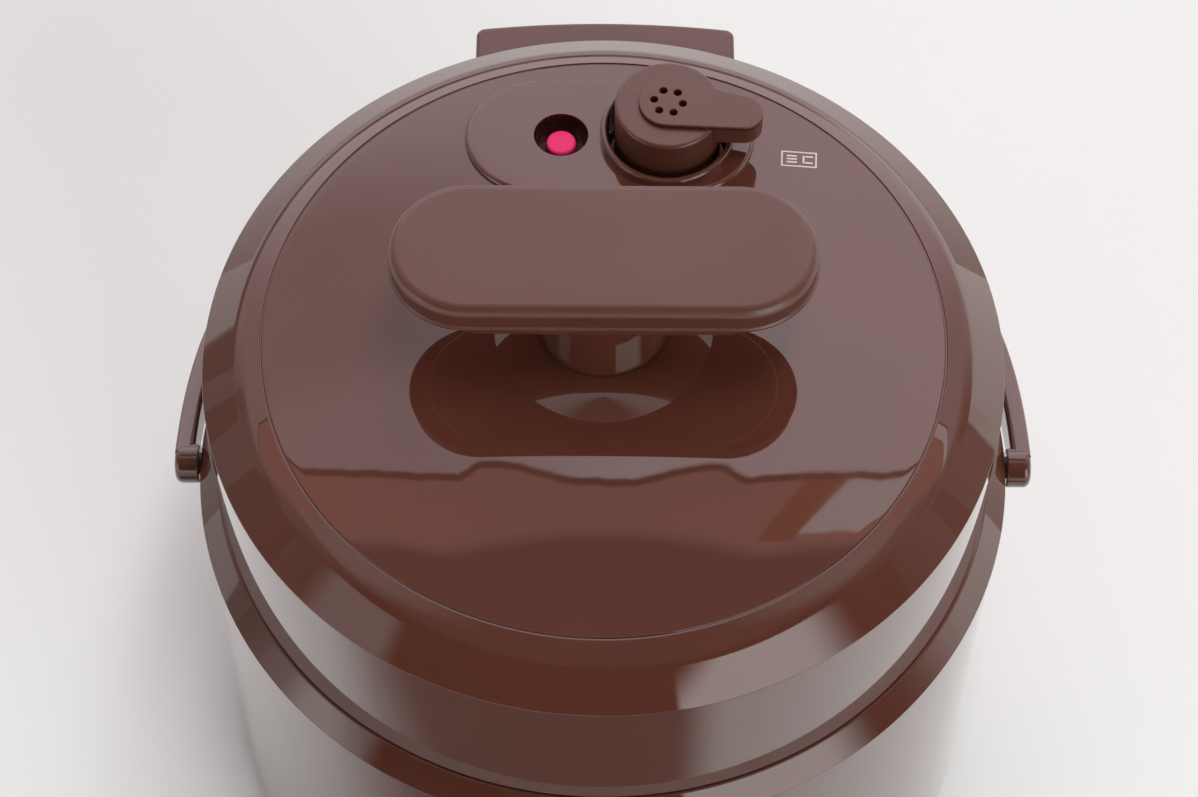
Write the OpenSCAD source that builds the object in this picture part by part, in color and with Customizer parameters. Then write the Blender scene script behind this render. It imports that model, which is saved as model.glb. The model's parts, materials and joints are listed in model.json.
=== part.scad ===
// Electric pressure cooker with a hinged lid, a T handle lock, a steam valve,
// a float pin and a bail carry handle.
// Millimetres. The origin is on the floor, on the axis of the body. The front is -Y, up is +Z.

/* [Body] */
// Outer diameter of the body wall
body_d = 252; // [248:1:262]
// Height of the top edge of the body wall above the floor
body_top_z = 153; // [148:1:175]
// Thickness of the plastic body wall
body_wall = 2.5; // [2:0.1:3]
// Height of the sloping rim band
rim_band_h = 6.4; // [5:0.2:8]
// How far the rim band stands out past the body wall
rim_lip = 0.8; // [0.4:0.1:1.5]
// Height of the rubber feet below the base
foot_h = 5; // [4:0.5:8]
// Diameter of a rubber foot
foot_d = 18; // [14:1:24]

/* [Lid] */
// Diameter of the sharp edge of the lid
lid_d = 240; // [238:1:243]
// Height of the lid's side wall
lid_wall_h = 53.4; // [50:0.2:60]
// Thickness of the lid's plastic
lid_wall = 2.5; // [2:0.1:3]
// Gap between the lid and the rim of the body
lid_gap = 0.6; // [0.5:0.1:1.2]
// Width of the steep bevel inside the lid edge
bevel_w = 12.1; // [9:0.1:14]
// Rise of the steep bevel
bevel_h = 9.4; // [7:0.1:12]
// Width of the land between the bevel and the top disc
land_w = 5.9; // [4:0.1:8]
// Rise of the land
land_h = 2; // [1:0.1:3]
// Width of the groove round the top disc
groove_w = 0.6; // [0.4:0.1:1]
// Rise of the top disc from the groove to its middle
crown_h = 0.6; // [0.2:0.1:2]
// Height of the raised island above the top disc
island_h = 2.4; // [1.5:0.1:4]
// Length of the island
island_l = 89; // [88:1:92]
// Width of the island
island_w = 45; // [44:1:48]
// Distance of the island's middle line behind the lid's axis
island_y = 71.6; // [69:0.2:73]

/* [T handle] */
// Length of the T handle
grip_l = 124; // [110:1:130]
// Width of the T handle
grip_w = 46.4; // [42:0.1:50]
// Height of the T handle's top above the lid edge
grip_top_h = 57.2; // [54:0.1:64]
// Thickness of the T handle
grip_t = 11.9; // [11:0.1:16]
// Diameter of the post
post_d = 38.6; // [34:0.2:42]
// Diameter of the round boss under the post
boss_d = 63; // [56:0.5:66]
// Height of that boss above the disc
boss_h = 6.3; // [4:0.1:8]
// Diameter of the steel spindle inside the post
spindle_d = 16; // [12:0.5:18]
// Angle that the T handle turns from open to locked
lock_turn = 30; // [26:1:32]

/* [Steam valve] */
// Diameter of the valve knob
knob_d = 32.6; // [29:0.2:33]
// Height of the knob's top above the lid edge
knob_top_h = 30; // [28:0.5:34]
// Distance of the knob to the right of the lid's axis
knob_x = 19.3; // [18.5:0.1:20]
// Diameter of the well that the knob stands in
valve_well_d = 37.4; // [37:0.1:38]
// Height of the collar round the valve well above the island
collar_h = 4.2; // [3:0.1:5]
// Thickness of the collar
collar_t = 2; // [1.6:0.1:2.4]
// Reach of the lever from the knob's axis to its tip
lever_reach = 29; // [26:0.5:32]
// Half width of the lever at the vent holes
lever_r = 9; // [8.2:0.1:10]
// Half width of the lever at its tip
lever_tip_r = 6; // [5:0.1:7]
// Thickness of the lever outside the knob
lever_t = 8; // [6:0.5:9]
// Angle of the lever from the right-hand side, towards the front
lever_angle = 10; // [0:1:20]
// Diameter of a vent hole
vent_d = 2.5; // [2:0.1:3]
// Radius of the ring of vent holes
vent_ring_r = 4.4; // [4.2:0.1:5]
// Number of vent holes
vent_count = 6; // [4:1:6]
// Diameter of the steam pipe
pipe_d = 8; // [6:0.5:9]
// Diameter of the bore of the steam pipe
pipe_bore_d = 3; // [2:0.1:4]

/* [Float pin] */
// Distance of the float pin to the left of the lid's axis
float_x = 13.4; // [13:0.1:14]
// Diameter of the float well
float_well_d = 16.8; // [16.2:0.1:17.2]
// Diameter of the pink head
float_cap_d = 9.2; // [8.4:0.1:10]
// Diameter of the stem
float_stem_d = 5; // [4:0.1:5.4]
// Depth of the pink head below the island at rest
float_depth = 3.6; // [3:0.1:4.2]
// Travel of the float pin
float_travel = 4.5; // [3.5:0.1:5]

/* [Hinge] */
// Distance of the hinge pin behind the lid's wall
hinge_back = 11; // [10:0.2:13]
// Height of the hinge pin above the lid's bottom edge
hinge_h = 7.4; // [7:0.2:9]
// Radius of the hinge barrel
barrel_r = 8; // [7:0.1:8.4]
// Diameter of the hinge pin
hinge_pin_d = 4; // [3:0.1:5]
// Width of the hinge cover
hinge_cover_w = 83; // [70:1:90]
// Depth of the hinge cover's top below the lid edge
hinge_cover_drop = 6; // [4:0.5:10]
// Depth of the hinge cover behind the lid's wall
hinge_cover_depth = 12.4; // [10:0.2:14]
// Thickness of a hinge ear
ear_t = 6; // [4:0.5:8]
// Number of turns of the hinge spring
hinge_spring_turns = 8; // [5:1:10]

/* [Bail] */
// Thickness of the bail's round hubs
hub_t = 7.7; // [6:0.1:12]
// Gap between the hinge bracket and the bail's grip as it swings past
bail_back_gap = 8.6; // [6:0.1:15]
// Thickness of the bail strap
bail_t = 6; // [4:0.1:6.5]
// Height of the bail strap
bail_h = 12; // [9:0.5:14]
// Radius of the round hubs
hub_r = 6.2; // [6:0.1:9]
// Depth of the pivots below the top edge of the body wall
bail_pivot_drop = 3; // [2:0.5:10]
// Angle by which the stowed bail hangs below level
bail_droop = 12; // [8:1:16]
// Roundness of the bail: 2 is an ellipse, more is squarer
bail_power = 2.4; // [2.4:0.05:2.8]
// Length of the thick grip at the back of the bail
bail_grip_l = 100; // [80:1:110]
// Thickness of that grip
bail_grip_t = 13; // [10:0.5:14]
// Diameter of the bail's pivot studs
stud_d = 7; // [6:0.5:8]

/* [Pots and heater] */
// Outer diameter of the inner pot
inner_pot_d = 194; // [186:1:195]
// Wall thickness of the inner pot
inner_pot_wall = 1.6; // [1.2:0.1:2.5]
// Depth of the inner pot under its flange
inner_pot_depth = 113; // [105:1:115]
// Wall thickness of the outer pot
outer_pot_wall = 2; // [1.5:0.1:2.5]
// Gap between the inner pot and the outer pot
pot_gap = 1.5; // [1:0.1:2]
// Number of locking lugs
lug_count = 6; // [5:1:6]
// Angle covered by one lug
lug_angle = 22; // [16:1:24]
// Thickness of a lug
lug_t = 3; // [2:0.1:4]
// Gap between the pot's lugs and the lock ring's lugs
lock_gap = 0.8; // [0.5:0.1:1.2]
// Thickness of the heating plate
plate_t = 8; // [6:0.5:12]
// Diameter of the heating plate
plate_d = 160; // [140:1:170]
// Diameter of the sensor's shaft
sensor_d = 18; // [14:0.5:20]
// Travel of the sensor
sensor_travel = 2.5; // [1.5:0.1:3]

/* [Front panel and inlet] */
// Width of the control panel
panel_w = 84; // [80:1:96]
// Height of the control panel
panel_h = 70; // [66:1:74]
// Height of the panel's lower edge above the floor
panel_z = 62; // [56:1:66]
// How far the panel stands out past the body wall
panel_out = 3.5; // [2.5:0.1:5]
// Diameter of a button
button_d = 12; // [10:0.2:13]
// Distance of the outer buttons from the panel's side edges
button_inset = 15; // [12:0.5:17]
// Travel of a button
button_travel = 1.2; // [0.8:0.1:1.4]
// Width of the display window
display_w = 48; // [40:1:60]
// Height of the display window
display_h = 24; // [18:1:28]
// Width of the power inlet
inlet_w = 34; // [28:1:40]
// Height of the power inlet
inlet_h = 20; // [18:1:24]

/* [Hidden] */

$fn = 96;
eps = 0.01;          // overshoot of a cut past the face it opens
run_fit = 0.05;      // radial clearance of a shaft in its bore
free_gap = 0.3;      // gap between pieces that move past each other

// Colours
choc_gloss = [0.22, 0.11, 0.09];
choc_matte = [0.33, 0.22, 0.20];
steel = [0.75, 0.75, 0.76];
alu = [0.80, 0.80, 0.81];
black = [0.08, 0.08, 0.08];
pink = [0.90, 0.25, 0.50];
silicone = [0.86, 0.86, 0.84];
board_green = [0.10, 0.35, 0.20];
brass_tone = [0.75, 0.60, 0.35];

// Levels of the body
body_r = body_d / 2;
shell_r = body_r - body_wall;
pan_t = 3;
shell_z = foot_h + pan_t;
rim_top_z = body_top_z + rim_lip * 0.75 + rim_band_h;
rim_top_r = lid_d / 2 + 0.5;
skirt_h = 10;
skirt_t = 2.5;
shelf_t = 4;
rim_wall = 3;

// Levels of the lid
lid_r = lid_d / 2;
lid_bottom_z = rim_top_z + lid_gap;
edge_z = lid_bottom_z + lid_wall_h;
land_z = edge_z + bevel_h;
disc_z = land_z + land_h;
land_r = lid_r - bevel_w;
disc_r = land_r - land_w - groove_w;
crown_z = disc_z + crown_h;
island_z = crown_z + island_h;
boss_z = crown_z + boss_h;
well_floor_z = edge_z + 2;
well_floor_t = 1.6;
cover_low_z = disc_z - lid_wall;

// Pots
inner_r = inner_pot_d / 2;
pot_in_r = inner_r + pot_gap;
pot_r = pot_in_r + outer_pot_wall;
pot_top_z = rim_top_z + 11.5;
pot_flange_t = 1.5;
flange_z = pot_top_z + pot_flange_t;
inner_bottom_z = flange_z - inner_pot_depth;
plate_z = inner_bottom_z - plate_t;
plate_leg_h = 6;
pot_floor_z = plate_z - plate_leg_h;
pot_low_z = pot_floor_z - outer_pot_wall;
lug_r = pot_r + 8;
pot_shelf_r = pot_r + 7.5;

// Lock ring and pressure lid
lock_lug_z = pot_top_z - lug_t - lock_gap - lug_t;
lock_lug_r = pot_r + 4;
lock_in_r = lug_r + 3.5;
lock_out_r = lock_in_r + 2;
liner_t = 3;
spider_t = 2.5;
inner_lid_t = 2;
channel_h = 10;
inner_lid_low_z = flange_z + 1.5;
inner_lid_z = inner_lid_low_z + channel_h;
inner_lid_top_z = inner_lid_z + inner_lid_t;
spider_z = inner_lid_top_z + 9.5;
liner_z = spider_z + spider_t + 2.5;
spacer_circle_r = 60;
spacer_d = 8;
spacer_angles = [60, 150, 240, 330];
liner_screw_circle_r = 88;
liner_screw_angles = [45, 135, 225, 315];
spider_arm_angles = [0, 180, 270];
bush_t = 3;

// T handle
grip_top_z = edge_z + grip_top_h;
grip_z = grip_top_z - grip_t;
underplate_t = 2.9;
underplate_end = 6.2;
post_z = boss_z + free_gap + 0.2;
grip_screw_x = grip_l / 2 - grip_w / 2;

// Steam valve and float pin
knob_top_z = edge_z + knob_top_h;
knob_z = well_floor_z + 1.5;
lever_plate_t = 1.5;
chamber_r = knob_d / 2 - 5;
chamber_top_z = knob_top_z - 3;
pipe_top_z = chamber_top_z - 12;
float_top_z = island_z - float_depth;
float_cap_h = 5;
guide_top_z = float_top_z - float_cap_h - free_gap;
guide_r = float_stem_d / 2 + 2.4;
guide_low_z = inner_lid_z - 3;
seal_t = 1.5;

// Hinge and bail
hinge_y = lid_r + hinge_back;
hinge_cover_y = lid_r + hinge_cover_depth;
hinge_z = lid_bottom_z + hinge_h;
bracket_root = 18;
bracket_top_z = hinge_z - barrel_r - 1.4;
bracket_z = bracket_top_z - 30;
ear_x = hinge_cover_w / 2 + 0.8;
bail_z = body_top_z - bail_pivot_drop;
bracket_back_y = hinge_y + barrel_r - 0.5;
hub_in_x = body_r + rim_lip + 0.5;
bail_half_w = hub_in_x + hub_t;
bail_swing_r = norm([bracket_back_y, bail_z - bracket_z]) + bail_back_gap;
bail_reach = bail_swing_r + (bail_grip_t + bail_t) / 2;
stud_end_x = bail_half_w - 1.6;
stud_flange = 3;
stud_flange_t = 3;

// Panel
panel_front_y = -(body_r + panel_out);
panel_t = 2.5;
panel_depth = 11;
board_gap = 5.4;
button_z = panel_z + 18;
display_z = panel_z + panel_h - 10 - display_h;
inlet_z = foot_h + pan_t + 16;

module ring(r_out, r_in, h) {
    difference() {
        cylinder(r = r_out, h = h);
        translate([0, 0, -eps]) cylinder(r = r_in, h = h + 2 * eps);
    }
}

// A turned piece: points are [radius, height].
module turned(points) {
    rotate_extrude() polygon(points);
}

// A plate with round ends, lying along X, length l over all and width w.
module slab(l, w, h) {
    linear_extrude(h) {
        square([l - w, w], center = true);
        for (s = [-1, 1]) translate([s * (l - w) / 2, 0]) circle(d = w);
    }
}

// The same plan with a shaped edge. The profile is a list of [distance from the middle line, height].
module shaped_slab(l, w, profile) {
    run = l - w;
    half = concat([[0, profile[0][1]]], profile, [[0, profile[len(profile) - 1][1]]]);
    for (s = [-1, 1]) translate([s * run / 2, 0, 0]) rotate_extrude() polygon(half);
    for (s = [-1, 1]) rotate([90, 0, 90]) translate([0, 0, -run / 2]) linear_extrude(run)
        polygon([for (p = half) [s * p[0], p[1]]]);
}

// A plate with rounded corners in the XZ plane, facing -Y, centred on x.
module face_plate(w, h, t, corner) {
    rotate([90, 0, 0]) linear_extrude(t) {
        translate([-w / 2 + corner, 0]) square([w - 2 * corner, h]);
        translate([-w / 2, corner]) square([w, h - 2 * corner]);
        for (x = [-1, 1], z = [corner, h - corner]) translate([x * (w / 2 - corner), z]) circle(corner);
    }
}

// A wound spring along Z: the wire's middle runs from z = wire_d / 2 to z = h - wire_d / 2.
module coil(r, wire_d, h, turns) {
    sides = 6;
    per_turn = 14;
    steps = per_turn * turns;
    points = [for (i = [0:steps], k = [0:sides - 1])
        let (a = 360 * i / per_turn, b = 360 * k / sides, out = r + wire_d / 2 * cos(b))
        [out * cos(a), out * sin(a), wire_d / 2 + (h - wire_d) * i / steps + wire_d / 2 * sin(b)]];
    walls = [for (i = [0:steps - 1], k = [0:sides - 1])
        let (p = i * sides + k, q = i * sides + (k + 1) % sides) [p, p + sides, q + sides, q]];
    ends = [[for (k = [0:sides - 1]) k], [for (k = [sides - 1:-1:0]) steps * sides + k]];
    polyhedron(points, concat(walls, ends));
}

module screw(head_d, head_h, shank_d, shank_l) {
    cylinder(d = head_d, h = head_h);
    translate([0, 0, head_h]) cylinder(d = shank_d, h = shank_l);
}

// Solid inside the outer faces of the body, used to seat pieces on it.
module body_envelope() {
    lip_r = body_r + rim_lip;
    turned([[0, 0], [body_r, 0], [body_r, body_top_z], [lip_r, body_top_z],
        [lip_r, body_top_z + rim_lip * 0.75], [rim_top_r, rim_top_z], [0, rim_top_z]]);
}

/* ---- Base ---- */

foot_inset = 24;
screw_inset = 16;
vent_slot_l = 24;
vent_slot_w = 4;
foot_circle_r = body_r - foot_inset;
screw_circle_r = body_r - screw_inset;
peg_d = 8;
board_lift = 10;
board_t = 1.6;
board_l = 100;
board_w = 76;
board_margin = 8;

module at_feet(z) {
    for (a = [45:90:315]) rotate(a) translate([foot_circle_r, 0, z]) children();
}

module at_board_posts(z) {
    for (x = [-1, 1], y = [-1, 1])
        translate([x * (board_l / 2 - board_margin), y * (board_w / 2 - board_margin), z]) children();
}

module base_pan() {
    color(choc_matte) difference() {
        union() {
            translate([0, 0, foot_h]) cylinder(r = body_r - 1, h = pan_t);
            translate([0, 0, shell_z]) ring(shell_r, shell_r - 2.5, 12);
            for (a = [0:90:270]) rotate(a) translate([screw_circle_r, 0, foot_h])
                cylinder(d = 9, h = pan_t + 12);
            at_board_posts(foot_h) cylinder(d = 8, h = pan_t + board_lift);
        }
        for (a = [0:90:270]) rotate(a) translate([screw_circle_r, 0, foot_h - eps]) {
            cylinder(d = 6.4, h = 2.6);
            cylinder(d = 3.2, h = pan_t + 10);
        }
        at_feet(foot_h - eps) cylinder(d = peg_d, h = pan_t + 1);
        for (a = [0:20:340]) rotate(a + 10) translate([body_r / 2, 0, foot_h - eps])
            slab(vent_slot_l, vent_slot_w, pan_t + 1);
    }
}

module rubber_feet() {
    color(black) at_feet(0) {
        cylinder(d = foot_d, h = foot_h);
        translate([0, 0, foot_h - eps]) cylinder(d = peg_d, h = pan_t);
    }
}

module base_screws() {
    color(steel) for (a = [0:90:270]) rotate(a) translate([screw_circle_r, 0, foot_h + 0.3])
        screw(6, 2.28, 3.1, 10);
}

module outer_shell() {
    color(choc_gloss) difference() {
        translate([0, 0, shell_z]) ring(body_r, shell_r, body_top_z - shell_z);
        translate([0, -body_r + 20, panel_z - 0.2]) face_plate(panel_w + 0.4, panel_h + 0.4, 40, 6.2);
        translate([-inlet_w / 2 - 0.2, body_r - 20, inlet_z - 0.2]) cube([inlet_w + 0.4, 40, inlet_h + 0.4]);
        translate([0, 0, bail_z]) rotate([0, 90, 0])
            cylinder(d = stud_d + 0.4, h = 2 * body_r + 4, center = true);
    }
}

module top_ring() {
    skirt_r = shell_r - 0.1;
    skirt_in_r = skirt_r - skirt_t;
    lip_r = body_r + rim_lip;
    in_r = pot_r + 0.5;
    shelf_z = body_top_z - shelf_t;
    color(choc_gloss) difference() {
        turned([[skirt_in_r, body_top_z - skirt_h], [skirt_r, body_top_z - skirt_h], [skirt_r, body_top_z],
            [lip_r, body_top_z], [lip_r, body_top_z + rim_lip * 0.75], [rim_top_r, rim_top_z],
            [rim_top_r - rim_wall, rim_top_z], [rim_top_r - rim_wall, body_top_z], [in_r, body_top_z],
            [in_r, shelf_z], [skirt_in_r, shelf_z]]);
        translate([0, 0, bail_z]) rotate([0, 90, 0]) {
            cylinder(d = stud_d + 0.2, h = 2 * lip_r + 4, center = true);
            cylinder(d = stud_d + 2 * stud_flange + 2 * free_gap, h = 2 * skirt_in_r, center = true);
        }
    }
}

// The spaces between the lugs, from r_in to r_out, as solids to cut away. Lug 0 is centred on angle turn.
module lug_gaps(r_in, r_out, h, turn) {
    gap_angle = 360 / lug_count - lug_angle;
    far = 2 * r_out;
    intersection() {
        ring(r_out, r_in, h);
        for (i = [0:lug_count - 1]) rotate(i * 360 / lug_count + turn + lug_angle / 2) translate([0, 0, -1])
            linear_extrude(h + 2) polygon([[0, 0], [far, 0], far * [cos(gap_angle), sin(gap_angle)]]);
    }
}

module outer_pot() {
    color(steel) difference() {
        turned([[0, pot_low_z], [pot_r, pot_low_z], [pot_r, body_top_z], [pot_shelf_r, body_top_z],
            [pot_shelf_r, body_top_z + 2], [pot_r, body_top_z + 2], [pot_r, pot_top_z - lug_t],
            [lug_r, pot_top_z - lug_t], [lug_r, pot_top_z], [pot_in_r, pot_top_z],
            [pot_in_r, pot_floor_z], [0, pot_floor_z]]);
        translate([0, 0, pot_top_z - lug_t - 1]) lug_gaps(pot_r, lug_r + 1, lug_t + 2, 0);
        translate([0, 0, pot_low_z - 1]) cylinder(r = guide_sleeve_r, h = outer_pot_wall + 2);
    }
}

module inner_pot() {
    corner = 8;
    steps = 6;
    // Round stretch between the wall and the bottom, from a0 to a1 degrees, radius r.
    function bend(r, a0, a1) = [for (i = [0:steps]) let (a = a0 + (a1 - a0) * i / steps)
        [inner_r - corner + r * cos(a), inner_bottom_z + corner + r * sin(a)]];
    color(alu) turned(concat([[0, inner_bottom_z]], bend(corner, -90, 0),
        [[inner_r, pot_top_z], [pot_r + 0.5, pot_top_z], [pot_r + 0.5, flange_z],
            [inner_r - inner_pot_wall, flange_z]],
        bend(corner - inner_pot_wall, 0, -90), [[0, inner_bottom_z + inner_pot_wall]]));
}

/* ---- Heater and electrics ---- */

sensor_head_r = sensor_d / 2 + 3.5;
sensor_top_z = inner_bottom_z - free_gap;
guide_flange_t = 1.5;
guide_sleeve_r = sensor_d / 2 + 2.5;
guide_flange_r = sensor_d / 2 + 7;
sensor_head_t = 3.2;
sensor_sleeve_top_z = sensor_top_z - sensor_head_t - sensor_travel - 0.5;
sensor_shaft_z = pot_low_z + 4;

module heating_plate() {
    color(alu) difference() {
        union() {
            translate([0, 0, plate_z]) ring(plate_d / 2, sensor_head_r + 1, plate_t);
            for (a = [90:120:330]) rotate(a) translate([plate_d / 2 - 12, 0, pot_floor_z])
                cylinder(d = 10, h = plate_leg_h + 1);
        }
        translate([0, 0, plate_z - eps]) ring(plate_d / 2 - 16, plate_d / 2 - 28, 1.5);
    }
}

module sensor_guide() {
    bore_r = sensor_d / 2 + run_fit;
    floor_z = pot_low_z - 6;
    flange_top_z = pot_floor_z + guide_flange_t;
    color(black) turned([[0, floor_z], [guide_sleeve_r, floor_z], [guide_sleeve_r, pot_floor_z],
        [guide_flange_r, pot_floor_z], [guide_flange_r, flange_top_z], [guide_sleeve_r, flange_top_z],
        [guide_sleeve_r, sensor_sleeve_top_z], [bore_r, sensor_sleeve_top_z], [bore_r, floor_z + 2],
        [0, floor_z + 2]]);
}

module sensor_cap() {
    color(steel) union() {
        translate([0, 0, sensor_shaft_z])
            cylinder(d = sensor_d, h = sensor_top_z - sensor_head_t - sensor_shaft_z);
        turned([[0, sensor_top_z - sensor_head_t], [sensor_head_r, sensor_top_z - sensor_head_t],
            [sensor_head_r, sensor_top_z - 0.8], [sensor_head_r - 0.8, sensor_top_z], [0, sensor_top_z]]);
    }
}

module sensor_spring() {
    low_z = pot_low_z - 4;
    color(steel) translate([0, 0, low_z]) coil(sensor_d / 2 - 2.5, 1.2, sensor_shaft_z - low_z, 5);
}

module thermal_fuse() {
    color(steel) rotate(200) translate([pot_r + 1.6, 0, pot_low_z + 22]) {
        cylinder(d = 3.2, h = 16);
        translate([0, 0, -9]) cylinder(d = 1, h = 34);
    }
}

module pressure_switch() {
    color(black) translate([54, 0, pot_low_z - 13]) {
        cylinder(d = 18, h = 10);
        translate([0, 0, 10 - eps]) cylinder(d = 10, h = 3 + eps);
        for (s = [-1, 1]) translate([s * 5 - 0.4, -1.5, -5]) cube([0.8, 3, 6]);
    }
}

module power_board() {
    board_z = shell_z + board_lift;
    top_z = board_z + board_t;
    relay = [15, 19, 6];
    choke = [10, 14, 5];
    capacitor_d = 9;
    color(board_green) difference() {
        translate([-board_l / 2, -board_w / 2, board_z]) cube([board_l, board_w, board_t]);
        at_board_posts(board_z - eps) cylinder(d = 3, h = board_t + 1);
    }
    color(black) {
        translate([-board_l * 0.34, -relay[1] * 0.6, top_z]) cube(relay);
        translate([board_l * 0.16, -board_w * 0.3, top_z]) cylinder(d = capacitor_d, h = 7);
        translate([board_l * 0.3, choke[0], top_z]) cube(choke);
    }
}

inlet_wall = 3;
inlet_flange_t = 1.5;
inlet_depth = 17;

module power_inlet() {
    back_y = body_r - inlet_depth;
    color(black) difference() {
        union() {
            translate([-inlet_w / 2, back_y, inlet_z])
                cube([inlet_w, inlet_depth + inlet_flange_t, inlet_h]);
            translate([-inlet_w / 2 - inlet_wall, body_r, inlet_z - inlet_wall])
                cube([inlet_w + 2 * inlet_wall, inlet_flange_t, inlet_h + 2 * inlet_wall]);
        }
        translate([-inlet_w / 2 + inlet_wall, back_y + inlet_wall, inlet_z + inlet_wall])
            cube([inlet_w - 2 * inlet_wall, inlet_depth + inlet_wall, inlet_h - 2 * inlet_wall]);
        pin_pair();
    }
}

module pin_pair() {
    for (x = [-1, 1]) translate([x * inlet_w / 6, body_r - inlet_depth - 4, inlet_z + inlet_h / 2])
        rotate([-90, 0, 0]) cylinder(d = 4, h = inlet_depth);
}

module inlet_pins() {
    color(brass_tone) pin_pair();
}

/* ---- Front panel ---- */

button_pitch = (panel_w - 2 * button_inset) / 3;
button_x = [-1.5, -0.5, 0.5, 1.5] * button_pitch;
board_y = panel_front_y + panel_t + board_gap;
button_flange_r = button_d / 2 + 1;
button_flange_t = 1.4;
button_nub_l = 1.6;
button_back_y = panel_front_y + panel_t + free_gap + button_flange_t + button_nub_l;

module control_panel() {
    color(choc_matte) difference() {
        union() {
            difference() {
                translate([0, panel_front_y + panel_depth, panel_z])
                    face_plate(panel_w, panel_h, panel_depth, 6);
                translate([0, panel_front_y + panel_depth + 1, panel_z + 2.5])
                    face_plate(panel_w - 5, panel_h - 5, panel_depth - panel_t + 1, 4);
            }
            for (x = [-1, 1], z = [5, panel_h - 5]) translate([x * (panel_w / 2 - 5), board_y, panel_z + z])
                rotate([90, 0, 0]) cylinder(d = 5, h = board_gap + 1);
        }
        for (x = button_x) translate([x, panel_front_y - 1, button_z]) rotate([-90, 0, 0])
            cylinder(r = button_d / 2 + free_gap, h = panel_t + 2);
        translate([-display_w / 2, panel_front_y - 1, display_z]) cube([display_w, panel_t + 2, display_h]);
    }
}

module display_window() {
    color(black) translate([-display_w / 2 + 0.1, panel_front_y, display_z + 0.1])
        cube([display_w - 0.2, panel_t, display_h - 0.2]);
}

module control_board() {
    switch_h = board_y - button_back_y - button_travel - free_gap;
    color(board_green) translate([-panel_w / 2 + 3.5, board_y, panel_z + 3.5])
        cube([panel_w - 7, 1.6, panel_h - 7]);
    color(black) {
        for (x = button_x) translate([x - 3, board_y - switch_h, button_z - 3]) cube([6, switch_h, 6]);
        translate([-display_w / 2 + 2, board_y - 2.4, display_z + 2])
            cube([display_w - 4, 2.4, display_h - 4]);
    }
}

module button(i) {
    proud = 1.4;
    neck = proud + panel_t + free_gap;
    color(choc_gloss) translate([button_x[i], panel_front_y - proud, button_z]) rotate([-90, 0, 0]) {
        cylinder(d = button_d, h = neck + button_flange_t);
        translate([0, 0, neck]) cylinder(r = button_flange_r, h = button_flange_t);
        translate([0, 0, neck + button_flange_t]) cylinder(d = 4, h = button_nub_l);
    }
}

module button_menu() {
    button(0);
}

module button_less() {
    button(1);
}

module button_more() {
    button(2);
}

module button_start() {
    button(3);
}

/* ---- Hinge ---- */

module hinge_bracket() {
    front_y = body_r - bracket_root;
    color(choc_matte) difference() {
        union() {
            for (s = [-1, 1]) translate([s * (ear_x + ear_t / 2) - ear_t / 2, 0, 0]) {
                translate([0, hinge_y - barrel_r + 0.5, bracket_z])
                    cube([ear_t, 2 * barrel_r - 1, hinge_z - bracket_z]);
                translate([0, hinge_y, hinge_z]) rotate([0, 90, 0]) cylinder(r = barrel_r - 0.5, h = ear_t);
            }
            translate([-ear_x - ear_t, front_y, bracket_z])
                cube([2 * (ear_x + ear_t), bracket_back_y - front_y, bracket_top_z - bracket_z]);
        }
        body_envelope();
        translate([0, hinge_y, hinge_z]) rotate([0, 90, 0])
            cylinder(d = hinge_pin_d + 2 * run_fit, h = 2 * (ear_x + ear_t) + 2, center = true);
    }
}

module hinge_pin() {
    color(steel) translate([0, hinge_y, hinge_z]) rotate([0, 90, 0]) {
        cylinder(d = hinge_pin_d, h = 2 * (ear_x + ear_t) + 1, center = true);
        for (s = [-1, 1]) translate([0, 0, s * (ear_x + ear_t + 1) - 0.5])
            cylinder(d = hinge_pin_d + 3, h = 1);
    }
}

spring_l = 34;
spring_r = hinge_pin_d / 2 + 1.6;

module hinge_spring() {
    color(steel) translate([-spring_l / 2 + 1, hinge_y, hinge_z]) rotate([0, 90, 0])
        coil(spring_r, 1.6, spring_l - 2, hinge_spring_turns);
}

module hinge_cover() {
    corner = 6;
    back_arc_r = 315;
    top_z = edge_z - hinge_cover_drop;
    half = hinge_cover_w / 2;
    near_y = lid_r * 0.7;
    color(choc_matte) difference() {
        union() {
            translate([0, 0, lid_bottom_z]) linear_extrude(top_z - lid_bottom_z) intersection() {
                union() {
                    translate([-half, near_y]) square([2 * half, hinge_cover_y - near_y - corner - 1]);
                    translate([-half + corner, near_y])
                        square([2 * (half - corner), hinge_cover_y - near_y]);
                    for (s = [-1, 1]) translate([s * (half - corner), hinge_cover_y - corner - 1.6])
                        circle(corner);
                }
                translate([0, hinge_cover_y - back_arc_r]) circle(back_arc_r, $fn = 360);
            }
            translate([0, hinge_y, hinge_z]) rotate([0, 90, 0])
                cylinder(r = barrel_r, h = 2 * half, center = true);
        }
        cylinder(r = lid_r, h = 400);
        translate([0, hinge_y, hinge_z]) rotate([0, 90, 0]) {
            cylinder(d = hinge_pin_d + 2 * run_fit, h = 2 * half + 2, center = true);
            cylinder(r = spring_r + 1.2, h = spring_l, center = true);
        }
    }
}

/* ---- Bail ---- */

// Half width of the bail at a distance s from its pivots, for the outline of reach b and half width a.
function bail_x(a, b, s) = a * pow(1 - pow(s / b, bail_power), 1 / bail_power);

bail_steps = 40;

// Points of one side of the outline, closer together near the back.
function bail_side(a, b) =
    [for (i = [0:bail_steps]) let (s = b * sin(90 * i / bail_steps)) [bail_x(a, b, s), s]];

function mirrored(points) = [for (i = [len(points) - 1:-1:0]) [-points[i][0], points[i][1]]];

module bail_place() {
    translate([0, 0, bail_z]) rotate([-bail_droop, 0, 0]) children();
}

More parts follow.
